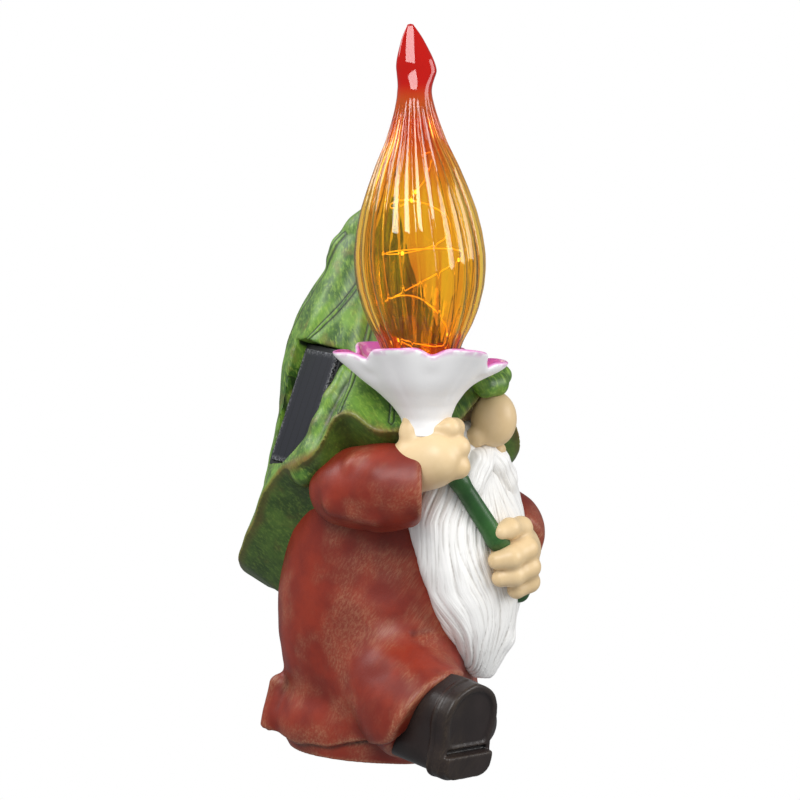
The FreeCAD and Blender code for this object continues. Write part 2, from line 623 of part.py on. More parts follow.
def board_parts():
    """The control board, what is soldered to it, and the power switch."""
    z = BASE_PLATE_THICK + SWITCH_HEIGHT
    top = z + BOARD_THICK
    board = box((0, BOARD_CENTRE_Y, z + BOARD_THICK / 2), (BOARD_X, BOARD_Y, BOARD_THICK))
    chip = box((-3.0, -14.0, top + 0.75), (5.0, 4.0, 1.5))
    coil = Part.makeCylinder(2.2, 5.0, V(4.0, -13.5, top))
    cap = Part.makeCylinder(1.8, 4.0, V(-7.0, -18.5, top))
    pins = [Part.makeCylinder(0.4, 2.6, V(x, SWITCH_Y, z)) for x in (-3.0, 0.0, 3.0)]
    for pin in pins:
        board = board.cut(pin)
    body = box((0, SWITCH_Y, BASE_PLATE_THICK + SWITCH_HEIGHT / 2), (SWITCH_X, SWITCH_DEPTH, SWITCH_HEIGHT))
    body = body.cut(box((0, SWITCH_Y, BASE_PLATE_THICK + 1.2), (7.6, 4.8, 2.6)))
    start = -SLIDER_TRAVEL / 2
    knob = box((start, SWITCH_Y, BASE_PLATE_THICK - 0.6), (2.4, 2.2, 3.0))
    foot = box((start, SWITCH_Y, BASE_PLATE_THICK + 1.1), (3.6, 4.2, 1.4))
    screws = []
    for x, y in BOSSES[:2]:
        board = board.cut(Part.makeCylinder(0.9, 4.0, V(x, y, z - 1)))
        head = Part.makeCylinder(1.7, 1.0, V(x, y, top))
        screws.append(head.fuse(Part.makeCylinder(0.9, 5.0, V(x, y, top - 4.5))))
    return (board, Part.makeCompound([chip, coil, cap]), Part.makeCompound(pins), body,
            knob.fuse(foot), Part.makeCompound(screws))


def lead_paths():
    """The wires inside: from the panel, from the lamp and from the two battery contacts."""
    top = BASE_PLATE_THICK + SWITCH_HEIGHT + BOARD_THICK
    normal = V(PANEL_NORMAL)
    normal.normalize()
    start = panel_place(Part.Vertex(0, 14.0, -POCKET_DEPTH + 0.4)).Point
    turn = start - normal * 13.0
    tab = CASE_CENTRE_Y
    return {
        "panel_lead": [tuple(start), tuple(turn), (-12.0, 8.0, 118.0), (-8.0, 4.0, 60.0),
                       (-1.0, -21.5, 34.0), (-1.0, -21.5, top)],
        "lamp_lead": [(FLOWER_X, FLOWER_Y, GLASS_SEAT_Z - 4.0), (FLOWER_X, FLOWER_Y, 133.0),
                      (-45.0, -22.0, 119.0), (-10.0, -6.0, 104.0), (6.0, -4.0, 60.0),
                      (5.5, -20.5, 34.0), (5.5, -20.5, top)],
        "battery_lead_plus": [(24.7, tab, 18.0), (24.7, tab, 26.0), (9.8, -17.5, 26.0), (9.8, -17.5, top)],
        "battery_lead_minus": [(-24.7, tab, 18.0), (-24.7, tab, 26.0), (-10.2, -15.5, 26.0), (-10.2, -15.5, top)],
    }


def main():
    """Builds every piece and writes one file for each."""
    head = head_solid()
    nose = egg((1.6, -53.9, 144.8), (9.7, 9.8, 12.3), [((0, 1, 0), 6), ((1, 0, 0), -8)])
    lip = egg((6.5, -53.0, 131.5), (4.2, 3.4, 3.2))
    stem = stem_solid()
    flower = flower_solid()
    glass = glass_solid()
    plug, string = lamp_parts()
    robe = robe_solid()
    cavity = stack(CAVITY_LEVELS, 2.15)
    beard = beard_solid()
    moustache = moustache_solid()
    raw_right_sleeve = right_sleeve()
    forearm, shoulder = left_sleeve()
    hands = {"right": right_hand(), "left": left_hand()}
    boots = {"right": right_boot(), "left": left_boot()}
    hat = hat_solid()
    curl = limb([((-9.0, -50.5, 163.0), 2.5), ((-6.0, -55.5, 161.0), 4.6), ((0.0, -58.0, 161.5), 5.0),
                 ((6.0, -56.5, 164.5), 3.8), ((9.0, -52.0, 168.0), 2.0)])
    tray, panel = panel_parts()
    case, cell, plus, minus, coil, door, door_screws = battery_parts()
    board, board_bits, pins, switch_body, slider, board_screws = board_parts()
    plate = base_plate()
    paths = lead_paths()
    leads = {name: lead(points, LEAD_RADIUS) for name, points in paths.items()}
    bores = [lead(paths[name], 1.6) for name in ("panel_lead", "lamp_lead")]

    hat = cut_all(hat.fuse(panel_block()), [pocket()])
    right_hand_raw, left_hand_raw, left_hand_space = hands["right"], hands["left"], left_hand(HAND_GAP)
    robe = cut_all(robe, [cavity, plate, boots["right"], boots["left"], raw_right_sleeve, forearm, shoulder,
                          right_hand_raw, hat] + bores)
    head = cut_all(head, [hat, robe] + bores)
    raw_nose, raw_lip, raw_flower, raw_stem, raw_moustache = nose, lip, flower, stem, moustache
    nose = cut_all(nose, [head, hat, curl])
    lip = cut_all(lip, [head, raw_nose])
    flower = cut_all(flower, bores)
    glass = cut_all(glass, [raw_flower])
    plug = cut_all(plug, [raw_flower, glass])
    right_hand_solid = cut_all(right_hand_raw, [raw_flower, raw_stem] + bores)
    stem = cut_all(stem, [raw_flower] + bores)
    left_hand_solid = cut_all(left_hand_raw, [stem_solid(HAND_GAP)])
    cut_right_sleeve = cut_all(raw_right_sleeve, [pocket(), right_hand_raw, hat] + bores)
    cut_left_sleeve = cut_all(forearm, [left_hand_raw]).fuse(shoulder)
    cut_left_sleeve = cut_all(cut_left_sleeve, [hat])
    moustache = cut_all(moustache, [raw_nose, raw_lip, head, raw_stem, right_hand_raw, left_hand_raw,
                                    forearm, hat])
    beard = cut_all(beard, [robe, head, hat, raw_moustache, raw_lip, raw_nose, raw_stem, right_hand_raw,
                            left_hand_space, raw_right_sleeve, forearm, boots["right"], boots["left"],
                            raw_flower] + bores)
    boots["right"] = boots["right"].cut(plate)
    boots["left"] = boots["left"].cut(plate)
    hat = cut_all(hat, [raw_flower, right_hand_raw, glass] + bores)
    curl = cut_all(curl, [hat, head, raw_flower])

    parts = {}
    parts["base_plate"], parts["robe"] = plate, robe
    parts["head"], parts["nose"], parts["lower_lip"] = head, nose, lip
    parts["beard"], parts["moustache"] = beard, moustache
    parts["right_sleeve"], parts["left_sleeve"] = cut_right_sleeve, cut_left_sleeve
    parts["right_hand"], parts["left_hand"] = right_hand_solid, left_hand_solid
    parts["right_boot"], parts["left_boot"] = boots["right"], boots["left"]
    parts["leaf_hat"], parts["hat_curl"] = hat, curl
    parts["flower_stem"], parts["flower_cup"], parts["glass_flame"] = stem, flower, glass
    parts["lamp_plug"], parts["led_string"] = plug, string
    parts["panel_tray"], parts["solar_cell"] = tray, panel
    parts["battery_case"], parts["battery_cell"], parts["battery_door"] = case, cell, door
    parts["contact_plus"], parts["contact_minus"], parts["contact_spring"] = plus, minus, coil
    parts["door_screws"], parts["board_screws"] = door_screws, board_screws
    parts["control_board"], parts["board_components"], parts["switch_pins"] = board, board_bits, pins
    parts["switch_body"], parts["switch_slider"] = switch_body, slider
    for name, solid in leads.items():
        parts[name] = solid
    os.makedirs("parts", exist_ok=True)
    for name, solid in parts.items():
        solid.exportStep("parts/%s.step" % name)
        b = solid.BoundBox
        print(solid.isValid(), "%-14s x %6.1f %6.1f  y %6.1f %6.1f  z %6.1f %6.1f" % (
            name, b.XMin, b.XMax, b.YMin, b.YMax, b.ZMin, b.ZMax))


main()
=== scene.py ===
"""Looks of the solar garden gnome: a cast and painted figure with a leaf hat and a lit glass flame.

The cast pieces are implicit surfaces: a distance is worked out at every point of a grid, shapes are joined
softly by blending their distances, and the zero level is turned into a mesh. Sizes are in millimetres and
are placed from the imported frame's boxes; meshes are written in metres.
"""

import logging
import math
from dataclasses import dataclass
from enum import Enum

import bpy
import numpy as np
import openvdb
from mathutils import Matrix, Vector

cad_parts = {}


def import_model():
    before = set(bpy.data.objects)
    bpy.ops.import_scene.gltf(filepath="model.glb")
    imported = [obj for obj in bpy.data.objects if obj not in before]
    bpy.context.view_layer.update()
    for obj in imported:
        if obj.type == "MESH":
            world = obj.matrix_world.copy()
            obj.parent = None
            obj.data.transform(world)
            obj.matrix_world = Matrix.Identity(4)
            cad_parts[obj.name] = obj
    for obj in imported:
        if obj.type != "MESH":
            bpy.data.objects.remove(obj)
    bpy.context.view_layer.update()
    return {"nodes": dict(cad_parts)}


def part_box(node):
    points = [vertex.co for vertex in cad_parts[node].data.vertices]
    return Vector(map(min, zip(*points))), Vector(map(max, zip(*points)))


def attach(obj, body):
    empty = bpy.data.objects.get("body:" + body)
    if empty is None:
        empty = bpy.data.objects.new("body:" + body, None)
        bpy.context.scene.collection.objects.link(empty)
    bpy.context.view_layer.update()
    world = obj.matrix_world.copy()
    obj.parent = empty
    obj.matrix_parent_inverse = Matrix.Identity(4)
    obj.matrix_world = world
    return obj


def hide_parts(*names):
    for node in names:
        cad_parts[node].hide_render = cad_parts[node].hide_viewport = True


MM = 0.001
FIGURE = "figure"
LOG = logging.getLogger("gnome")

Array = np.ndarray
Triple = tuple[float, float, float]
Stations = tuple[tuple[Triple, float], ...]  # centres and radii of bars laid end to end


# ---------------------------------------------------------------- places and curves
class Place:
    """Where a CAD node is, in millimetres."""

    def __init__(self, node: str) -> None:
        low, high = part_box(node)
        self.low = np.array(low) / MM
        self.high = np.array(high) / MM


def smooth_table(rows: tuple, at: Array, spread: float, period: float = 0.0) -> list[Array]:
    """Reads a table of (position, value...) at many positions, rounded by a bell-shaped average.

    Args:
        rows: tuples of a position and its values, in rising order.
        at: array of positions to read.
        spread: width of the average, in the units of position.
        period: length after which the table repeats, or 0.
    Returns:
        A list with one array for each value column.
    """
    table = np.array(rows, float)
    if period:
        table = np.vstack([_shifted(table, -period), table, _shifted(table, period)])
    fine = np.linspace(table[0, 0], table[-1, 0], 2400)
    step = fine[1] - fine[0]
    reach = max(1, int(3 * spread / step))
    bell = np.exp(-0.5 * (np.arange(-reach, reach + 1) * step / spread) ** 2)
    bell /= bell.sum()
    out = []
    for column in range(1, table.shape[1]):
        values = np.interp(fine, table[:, 0], table[:, column])
        padded = np.pad(values, reach, mode="edge")
        out.append(np.interp(at, fine, np.convolve(padded, bell, mode="valid")))
    return out


def _shifted(table: Array, by: float) -> Array:
    """The same table with its positions moved."""
    moved = table.copy()
    moved[:, 0] += by
    return moved


# ---------------------------------------------------------------- distances
def smooth_min(a: Array, b: Array, k: float) -> Array:
    """Joins two shapes, with a fillet about k wide."""
    h = np.clip(0.5 + 0.5 * (b - a) / k, 0.0, 1.0)
    return b * (1 - h) + a * h - k * h * (1 - h)


def smooth_max(a: Array, b: Array, k: float) -> Array:
    """Keeps what two shapes share, with an edge rounded about k wide."""
    return -smooth_min(-a, -b, k)


def smooth_step(low: float, high: float, value: Array) -> Array:
    """Rises from 0 at low to 1 at high with level ends."""
    t = np.clip((value - low) / (high - low), 0.0, 1.0)
    return t * t * (3 - 2 * t)


def value_noise(x: Array, y: Array, z: Array, size: float, seed: int) -> Array:
    """Soft random field from -1 to 1: random numbers on a lattice of the given cell size, blended between."""
    lattice = np.random.default_rng(seed).uniform(-1, 1, (32, 32, 32)).astype(np.float32)
    px, py, pz = (np.asarray(c, np.float32) / size + 200.0 for c in (x, y, z))
    ix, iy, iz = (np.floor(c).astype(np.int32) for c in (px, py, pz))
    fx, fy, fz = (smooth_step(0.0, 1.0, c - i) for c, i in ((px, ix), (py, iy), (pz, iz)))
    total = 0.0
    for dx in (0, 1):
        for dy in (0, 1):
            for dz in (0, 1):
                weight = ((fx if dx else 1 - fx) * (fy if dy else 1 - fy) * (fz if dz else 1 - fz))
                total = total + weight * lattice[(ix + dx) % 32, (iy + dy) % 32, (iz + dz) % 32]
    return total


class Field:
    """A grid of points that fills a box, on which distances are worked out."""

    def __init__(self, low: Array, high: Array, step: float) -> None:
        self.low = np.array(low, float)
        self.step = step
        counts = np.ceil((np.array(high, float) - self.low) / step).astype(int) + 1
        axes = [self.low[i] + step * np.arange(counts[i]) for i in range(3)]
        self.x, self.y, self.z = np.meshgrid(*[a.astype(np.float32) for a in axes], indexing="ij", sparse=True)

    def ellipsoid(self, centre: Triple, radii: Triple, turn: Matrix | None = None) -> Array:
        """Distance to an ellipsoid, from its scaled radius; turn is a rotation matrix."""
        q = self.local(centre, turn)
        a = np.sqrt(sum((c / r) ** 2 for c, r in zip(q, radii))) + 1e-6
        b = np.sqrt(sum((c / r ** 2) ** 2 for c, r in zip(q, radii))) + 1e-6
        return a * (a - 1) / b

    def local(self, centre: Triple, turn: Matrix | None = None) -> list[Array]:
        """Coordinates about a centre, along turned axes."""
        d = [c - o for c, o in zip((self.x, self.y, self.z), centre)]
        if turn is None:
            return d
        rows = np.array(turn.transposed(), float)
        return [rows[i][0] * d[0] + rows[i][1] * d[1] + rows[i][2] * d[2] for i in range(3)]

    def bar(self, start: Triple, end: Triple, start_radius: float, end_radius: float) -> Array:
        """Distance to a round-ended bar whose radius changes evenly."""
        a, b = np.array(start, float), np.array(end, float)
        run = b - a
        d = [c - o for c, o in zip((self.x, self.y, self.z), a)]
        t = np.clip((d[0] * run[0] + d[1] * run[1] + d[2] * run[2]) / run.dot(run), 0.0, 1.0)
        away = np.sqrt((d[0] - t * run[0]) ** 2 + (d[1] - t * run[1]) ** 2 + (d[2] - t * run[2]) ** 2)
        return away - (start_radius + t * (end_radius - start_radius))

    def chain(self, stations: Stations, k: float = 3.0) -> Array:
        """Distance to bars laid end to end; each station is a centre and a radius."""
        out = None
        for (a, ra), (b, rb) in zip(stations, stations[1:]):
            piece = self.bar(a, b, ra, rb)
            out = piece if out is None else smooth_min(out, piece, k)
        return out

    def block(self, centre: Triple, half: Triple, turn: Matrix | None = None, rounding: float = 0.0) -> Array:
        """Distance to a box with rounded edges."""
        q = [np.abs(c) - (h - rounding) for c, h in zip(self.local(centre, turn), half)]
        outside = np.sqrt(sum(np.maximum(c, 0) ** 2 for c in q))
        inside = np.minimum(np.maximum(np.maximum(q[0], q[1]), q[2]), 0)
        return outside + inside - rounding

    def half_space(self, point: Triple, normal: Triple) -> Array:
        """Distance to the plane through a point; negative on the side away from the normal."""
        n = np.array(normal, float)
        n /= np.linalg.norm(n)
        return (self.x - point[0]) * n[0] + (self.y - point[1]) * n[1] + (self.z - point[2]) * n[2]

    def mesh_arrays(self, distance: Array) -> tuple[Array, Array]:
        """The zero level of the distances as vertices in millimetres and quads that face outwards."""
        shape = np.broadcast_shapes(self.x.shape, self.y.shape, self.z.shape)
        full = np.array(np.broadcast_to(distance, shape), dtype=np.float32, order="C")
        grid = openvdb.FloatGrid(self.step * 4)
        grid.copyFromArray(full)
        points, quads = grid.convertToQuads(isovalue=0.0)
        points = np.asarray(points, float) * self.step + self.low
        quads = np.asarray(quads, np.int64)
        a, b, c = (points[quads[:, i]] for i in (0, 1, 2))
        volume = np.einsum("ij,ij->i", a, np.cross(b, c)).sum()
        return points, quads if volume > 0 else quads[:, ::-1]


# ---------------------------------------------------------------- meshes
def make_object(name: str, points_mm: Array, faces, smooth: bool = True, turn_out: bool = False) -> bpy.types.Object:
    """Makes a mesh object at the origin.

    Args:
        name: name of the object and its mesh.
        points_mm: vertices in millimetres.
        faces: vertex numbers of each face, as an array or a list of faces of any size.
        smooth: whether it is shaded smooth.
        turn_out: whether faces that point inwards are turned round.
    Returns:
        The new object, linked to the scene.
    """
    mesh = bpy.data.meshes.new(name)
    faces = faces.tolist() if isinstance(faces, np.ndarray) else faces
    mesh.from_pydata((np.asarray(points_mm, float) * MM).tolist(), [], faces)
    if turn_out and signed_volume(mesh) < 0:
        mesh.flip_normals()
    mesh.validate()
    mesh.update()
    if smooth:
        mesh.shade_smooth()
    obj = bpy.data.objects.new(name, mesh)
    bpy.context.scene.collection.objects.link(obj)
    return obj


def signed_volume(mesh: bpy.types.Mesh) -> float:
    """Volume enclosed by a mesh; negative when its faces point inwards."""
    mesh.calc_loop_triangles()
    corners = np.zeros(len(mesh.loop_triangles) * 3, np.int64)
    mesh.loop_triangles.foreach_get("vertices", corners)
    points = np.zeros(len(mesh.vertices) * 3, np.float32)
    mesh.vertices.foreach_get("co", points)
    a, b, c = (points.reshape(-1, 3).astype(float)[corners.reshape(-1, 3)[:, i]] for i in range(3))
    return float(np.einsum("ij,ij->i", a, np.cross(b, c)).sum())


def set_uv(obj: bpy.types.Object, name: str, values: Array) -> None:
    """Writes a UV map from one pair of coordinates for each vertex."""
    layer = obj.data.uv_layers.new(name=name)
    loops = np.zeros(len(obj.data.loops), np.int64)
    obj.data.loops.foreach_get("vertex_index", loops)
    layer.data.foreach_set("uv", values[loops].astype(np.float32).ravel())


def adopt(obj: bpy.types.Object, material: bpy.types.Material, slot: str, node: str = "") -> bpy.types.Object:
    """Gives an object its material and the figure's body, and hides the CAD node that it replaces, if any."""
    obj.data.materials.append(material)
    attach(obj, FIGURE)
    if node:
        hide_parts(node)
    LOG.info("%s: %d vertices", obj.name, len(obj.data.vertices))
    return obj


def set_attribute(obj: bpy.types.Object, name: str, values: Array) -> None:
    """Stores one number for each vertex, for the material to read."""
    layer = obj.data.attributes.new(name, "FLOAT", "POINT")
    layer.data.foreach_set("value", np.asarray(values, np.float32))


def vertex_arrays(obj: bpy.types.Object) -> tuple[Array, Array]:
    """Vertex positions in millimetres and their normals."""
    count = len(obj.data.vertices)
    points, normals = np.zeros(count * 3, np.float32), np.zeros(count * 3, np.float32)
    obj.data.vertices.foreach_get("co", points)
    obj.data.vertices.foreach_get("normal", normals)
    return points.reshape(-1, 3) / MM, normals.reshape(-1, 3)


def displace(obj: bpy.types.Object, amount_mm: Array) -> None:
    """Moves each vertex along its normal."""
    points, normals = vertex_arrays(obj)
    moved = (points + normals * np.asarray(amount_mm)[:, None]) * MM
    obj.data.vertices.foreach_set("co", moved.astype(np.float32).ravel())
    obj.data.update()


def measure_cavity(obj: bpy.types.Object, rounds: int = 10, scale: float = 1.0) -> None:
    """Stores how hollow the surface is at each vertex: how far the average of the neighbourhood lies outside."""
    points, normals = vertex_arrays(obj)
    edges = np.zeros(len(obj.data.edges) * 2, np.int64)
    obj.data.edges.foreach_get("vertices", edges)
    a, b = edges.reshape(-1, 2).T
    count = np.bincount(np.concatenate([a, b]), minlength=len(points)).clip(1)

    def average(values: Array) -> Array:
        total = np.bincount(a, values[b], len(points)) + np.bincount(b, values[a], len(points))
        return 0.5 * values + 0.5 * total / count

    soft = points.astype(float).T
    for _ in range(rounds):
        soft = np.array([average(c) for c in soft])
    hollow = np.einsum("ij,ij->i", soft.T - points, normals)
    for _ in range(3):
        hollow = average(hollow)
    set_attribute(obj, "cavity", np.clip(hollow * scale, -1, 1))


def sheet_faces(rows: int, columns: int) -> Array:
    """Quads of a grid of vertices whose columns close on themselves."""
    r, c = np.meshgrid(np.arange(rows - 1), np.arange(columns), indexing="ij")
    n = (c + 1) % columns
    return np.stack([r * columns + c, r * columns + n, (r + 1) * columns + n, (r + 1) * columns + c], -1).reshape(-1, 4)


# ---------------------------------------------------------------- materials
def srgb(code: str) -> tuple[float, ...]:
    """A hex colour as linear red, green, blue and 1."""
    parts = [int(code[i:i + 2], 16) / 255 for i in (0, 2, 4)]
    return tuple(p / 12.92 if p <= 0.04045 else ((p + 0.055) / 1.055) ** 2.4 for p in parts) + (1.0,)


class Tree:
    """Builds the node tree of one material or world."""

    def __init__(self, owner: bpy.types.Material | bpy.types.World) -> None:
        self.owner = owner
        owner.use_nodes = True
        self.tree = owner.node_tree
        self.tree.nodes.clear()

    def add(self, kind: str, inputs: dict = None, **settings):
        """Adds a node. inputs maps a socket's name or number to a constant or to another socket."""
        node = self.tree.nodes.new("ShaderNode" + kind)
        for key, value in settings.items():
            setattr(node, key, value)
        for key, value in (inputs or {}).items():
            if isinstance(value, bpy.types.NodeSocket):
                self.tree.links.new(value, node.inputs[key])
            else:
                node.inputs[key].default_value = value
        return node

    def math(self, operation: str, a, b=0.0, clamp: bool = False):
        """One arithmetic step."""
        return self.add("Math", {0: a, 1: b}, operation=operation, use_clamp=clamp).outputs[0]

    def mix(self, share, a, b, blend: str = "MIX"):
        """Blends two colours."""
        node = self.add("Mix", {0: share, 6: a, 7: b}, data_type="RGBA", blend_type=blend)
        return node.outputs[2]

    def ramp(self, value, low: float, high: float):
        """0 below low, 1 above high, and smooth between."""
        node = self.add("MapRange", {0: value, 1: low, 2: high, 3: 0.0, 4: 1.0}, interpolation_type="SMOOTHSTEP")
        return node.outputs[0]

    def attribute(self, name: str):
        """A number stored at the vertices."""
        return self.add("Attribute", attribute_name=name).outputs["Fac"]

    def noise(self, size_mm: float, stretch=(1, 1, 1), turn=(0, 0, 0), detail: float = 3.0, rough: float = 0.55):
        """Noise with features about size_mm long, in object space; stretch lengthens it along turned axes."""
        where = self.add("TexCoord").outputs["Object"]
        scale = tuple(1.0 / (size_mm * MM * s) for s in stretch)
        turned = self.add("Mapping", {0: where, 2: turn}, vector_type="POINT").outputs[0]
        sized = self.add("Mapping", {0: turned, 3: scale}, vector_type="POINT").outputs[0]
        node = self.add("TexNoise", {"Vector": sized, "Scale": 1.0, "Detail": detail, "Roughness": rough})
        return node.outputs[0]

    def surface(self, colour, roughness, inputs: dict, bump: tuple = ()) -> bpy.types.Material:
        """Adds the surface and its output.

        Args:
            colour: a colour or a socket.
            roughness: a number or a socket.
            inputs: the surface's other inputs, by name.
            bump: height socket, strength, and depth in millimetres.
        Returns:
            The finished material.
        """
        inputs = {"Base Color": colour, "Roughness": roughness, **inputs}
        if bump:
            height, strength, depth = bump
            relief = self.add("Bump", {"Strength": strength, "Distance": depth * MM, "Height": height})
            inputs["Normal"] = relief.outputs[0]
        self.add("OutputMaterial", {0: self.add("BsdfPrincipled", inputs).outputs[0]})
        return self.owner


@dataclass(frozen=True)
class CastPaint:
    """Acrylic paint on cast resin: a base coat, painted shade that darkens the hollows, and a dry-brushed top."""

    name: str
    base: str
    # colour of the painted shade that darkens the hollows
    shade: str
    light: str
    brush: str
    roughness: float = 0.42
    coat: float = 0.25
    mottle_mm: float = 16.0
    brush_amount: float = 0.5
    brush_turn: tuple = (0.0, 0.9, 0.3)
    bump: float = 0.12
    cavity_gain: float = 2.2

    def build(self) -> bpy.types.Material:
        """Makes the material."""
        t = Tree(bpy.data.materials.new(self.name))
        cavity = t.attribute("cavity")
        cloud = t.ramp(t.noise(self.mottle_mm, detail=4.0), 0.35, 0.68)
        colour = t.mix(cloud, srgb(self.base), srgb(self.light))
        # painted shade: the hollows are darkened towards the shade colour
        hollow = t.ramp(t.math("MULTIPLY", cavity, self.cavity_gain), 0.0, 1.0)
        colour = t.mix(hollow, colour, srgb(self.shade))
        streak = t.ramp(t.noise(0.9, (9, 1, 1), self.brush_turn, 4.0, 0.75), 0.42, 0.66)
        patch = t.ramp(t.noise(self.mottle_mm * 1.4, detail=2.0), 0.44, 0.64)
        raised = t.ramp(t.math("MULTIPLY", cavity, -self.cavity_gain), 0.05, 0.9)
        worn = t.math("ADD", t.math("MULTIPLY", patch, 0.55), t.math("MULTIPLY", raised, 0.9), clamp=True)
        grain = t.math("ADD", t.math("MULTIPLY", streak, 0.75), 0.25)
        dry = t.math("MULTIPLY", t.math("MULTIPLY", grain, worn), self.brush_amount, clamp=True)
        colour = t.mix(dry, colour, srgb(self.brush))
        grain = t.math("ADD", t.noise(0.8, detail=4.0), t.math("MULTIPLY", streak, 0.35))
        rough = t.math("ADD", self.roughness, t.math("MULTIPLY", dry, 0.2))
        return t.surface(colour, rough, {"Coat Weight": self.coat, "Coat Roughness": 0.28, "Specular IOR Level": 0.35},
                         (grain, self.bump, 0.4))


@dataclass(frozen=True)
class PlainFinish:
    """One even finish, for plastic, metal and wire."""

    name: str
    colour: str
    roughness: float = 0.5
    metallic: float = 0.0
    glow: float = 0.0

    def build(self) -> bpy.types.Material:
        """Makes the material."""
        t = Tree(bpy.data.materials.new(self.name))
        inputs = {"Metallic": self.metallic}
        if self.glow:
            inputs.update({"Emission Color": srgb(self.colour), "Emission Strength": self.glow})
        return t.surface(srgb(self.colour), self.roughness, inputs)


def leaf_paint() -> bpy.types.Material:
    """Green hat paint: yellow-green on raised parts, painted shade near black in hollows and darker under the leaf,
    brown at the leaf's edge, engraved veins.
    """
    t = Tree(bpy.data.materials.new("leaf_green_paint"))
    cavity = t.attribute("cavity")
    cloud = t.ramp(t.noise(13.0, detail=4.0), 0.36, 0.66)
    colour = t.mix(cloud, srgb("34581D"), srgb("668F30"))
    streak = t.ramp(t.noise(1.2, (1, 1, 16), (0.5, 0.0, 0.0), 3.0, 0.7), 0.45, 0.72)
    colour = t.mix(t.math("MULTIPLY", streak, 0.65), colour, srgb("93B446"))
    # painted shade: the hollows are darkened to near black
    hollow = t.ramp(t.math("MULTIPLY", cavity, 2.4), 0.0, 0.9)
    colour = t.mix(hollow, colour, srgb("16280F"))
    rust = t.ramp(t.noise(9.0, detail=4.0), 0.52, 0.72)
    edge = t.ramp(t.attribute("edge"), 5.0, 0.5)
    brown = t.math("ADD", t.math("MULTIPLY", edge, 0.6), t.math("MULTIPLY", rust, 0.38), clamp=True)
    colour = t.mix(brown, colour, srgb("80602E"))
    # painted shade: faces that point down, under the leaf, are darkened
    under = t.math("MULTIPLY", t.ramp(t.attribute("under"), 0.2, 0.9), 0.62)
    colour = t.mix(under, colour, srgb("2C3C14"))
    vein = t.attribute("vein")
    line = t.math("ABSOLUTE", t.math("SUBTRACT", vein, 1.15))
    groove = t.ramp(line, 0.75, 0.15)
    colour = t.mix(t.math("MULTIPLY", groove, 0.85), colour, srgb("182A12"))
    height = t.math("SUBTRACT", t.math("MULTIPLY", t.noise(0.9, detail=4.0), 0.3), groove)
    return t.surface(colour, 0.45, {"Coat Weight": 0.1, "Coat Roughness": 0.3}, (height, 0.35, 0.6))


def beard_paint() -> bpy.types.Material:
    """White paint over engraved strands, with a grey-brown tone in the strand grooves and painted shade that greys the
    hollows.
    """
    t = Tree(bpy.data.materials.new("beard_white_paint"))
    uv = t.add("UVMap", uv_map="strands").outputs[0]
    fine = t.add("Mapping", {0: uv, 3: (1.0, 0.055, 1.0)}, vector_type="POINT").outputs[0]
    strand = t.add("TexNoise", {"Vector": fine, "Scale": 0.9, "Detail": 3.0, "Roughness": 0.5,
                                "Distortion": 0.3}).outputs[0]
    groove = t.ramp(strand, 0.46, 0.34)
    # painted shade: the hollows turn grey-brown, on top of the grey-brown tone in the strand grooves
    cavity = t.ramp(t.math("MULTIPLY", t.attribute("cavity"), 3.0), 0.1, 1.0)
    groove_tone_and_shade = t.math("ADD", t.math("MULTIPLY", groove, 0.28), t.math("MULTIPLY", cavity, 0.55), clamp=True)
    colour = t.mix(groove_tone_and_shade, srgb("EFEDE9"), srgb("9C938A"))
    return t.surface(colour, 0.5, {"Coat Weight": 0.12, "Coat Roughness": 0.35}, (strand, 0.6, 1.1))


def flower_paint() -> bpy.types.Material:
    """White outside, with painted shade that greys its hollows; pink inside that deepens to magenta at the petals'
    edges and orange by the glass.
    """
    t = Tree(bpy.data.materials.new("flower_white_pink_paint"))
    inside = t.attribute("inside")
    rim = t.attribute("rim")
    cloud = t.noise(6.0, detail=3.0)
    pink = t.mix(t.ramp(rim, 0.55, 1.0), srgb("F2B9CC"), srgb("C45AA8"))
    pink = t.mix(t.ramp(rim, 0.62, 0.30), pink, srgb("E8935A"))
    pink = t.mix(t.math("MULTIPLY", t.ramp(cloud, 0.5, 0.62), 0.5), pink, srgb("F8E4EA"))
    edge = t.math("MULTIPLY", t.ramp(rim, 0.93, 1.0), t.ramp(cloud, 0.40, 0.60))
    white = t.mix(t.math("MULTIPLY", edge, 0.6), srgb("F1EFED"), srgb("CF86BE"))
    # painted shade: hollows of the white outside are greyed
    hollow = t.ramp(t.math("MULTIPLY", t.attribute("cavity"), 2.5), 0.1, 1.0)
    white = t.mix(t.math("MULTIPLY", hollow, 0.5), white, srgb("B5AFA8"))
    colour = t.mix(inside, white, pink)
    return t.surface(colour, 0.45, {"Coat Weight": 0.15, "Coat Roughness": 0.3}, (t.noise(1.2, (1, 1, 8)), 0.15, 0.3))


def glass_finish() -> bpy.types.Material:
    """Amber glass that turns orange up the neck and solid red in the tip, and orange again at its foot."""
    t = Tree(bpy.data.materials.new("amber_to_red_glass"))
    height = t.attribute("height")
    tone = t.attribute("tone")
    colour = t.mix(t.ramp(tone, 0.35, 0.75), srgb("F2CE52"), srgb("E6AC42"))
    colour = t.mix(t.ramp(height, 0.26, 0.04), colour, srgb("F0B040"))
    colour = t.mix(t.ramp(height, 0.48, 0.74), colour, srgb("DD7428"))
    colour = t.mix(t.ramp(height, 0.72, 0.84), colour, srgb("B01006"))
    clear = t.math("SUBTRACT", 1.0, t.math("MULTIPLY", t.ramp(height, 0.72, 0.82), 0.85))
    return t.surface(colour, 0.03, {"IOR": 1.45, "Transmission Weight": clear, "Coat Weight": 0.2,
                                    "Coat Roughness": 0.02})


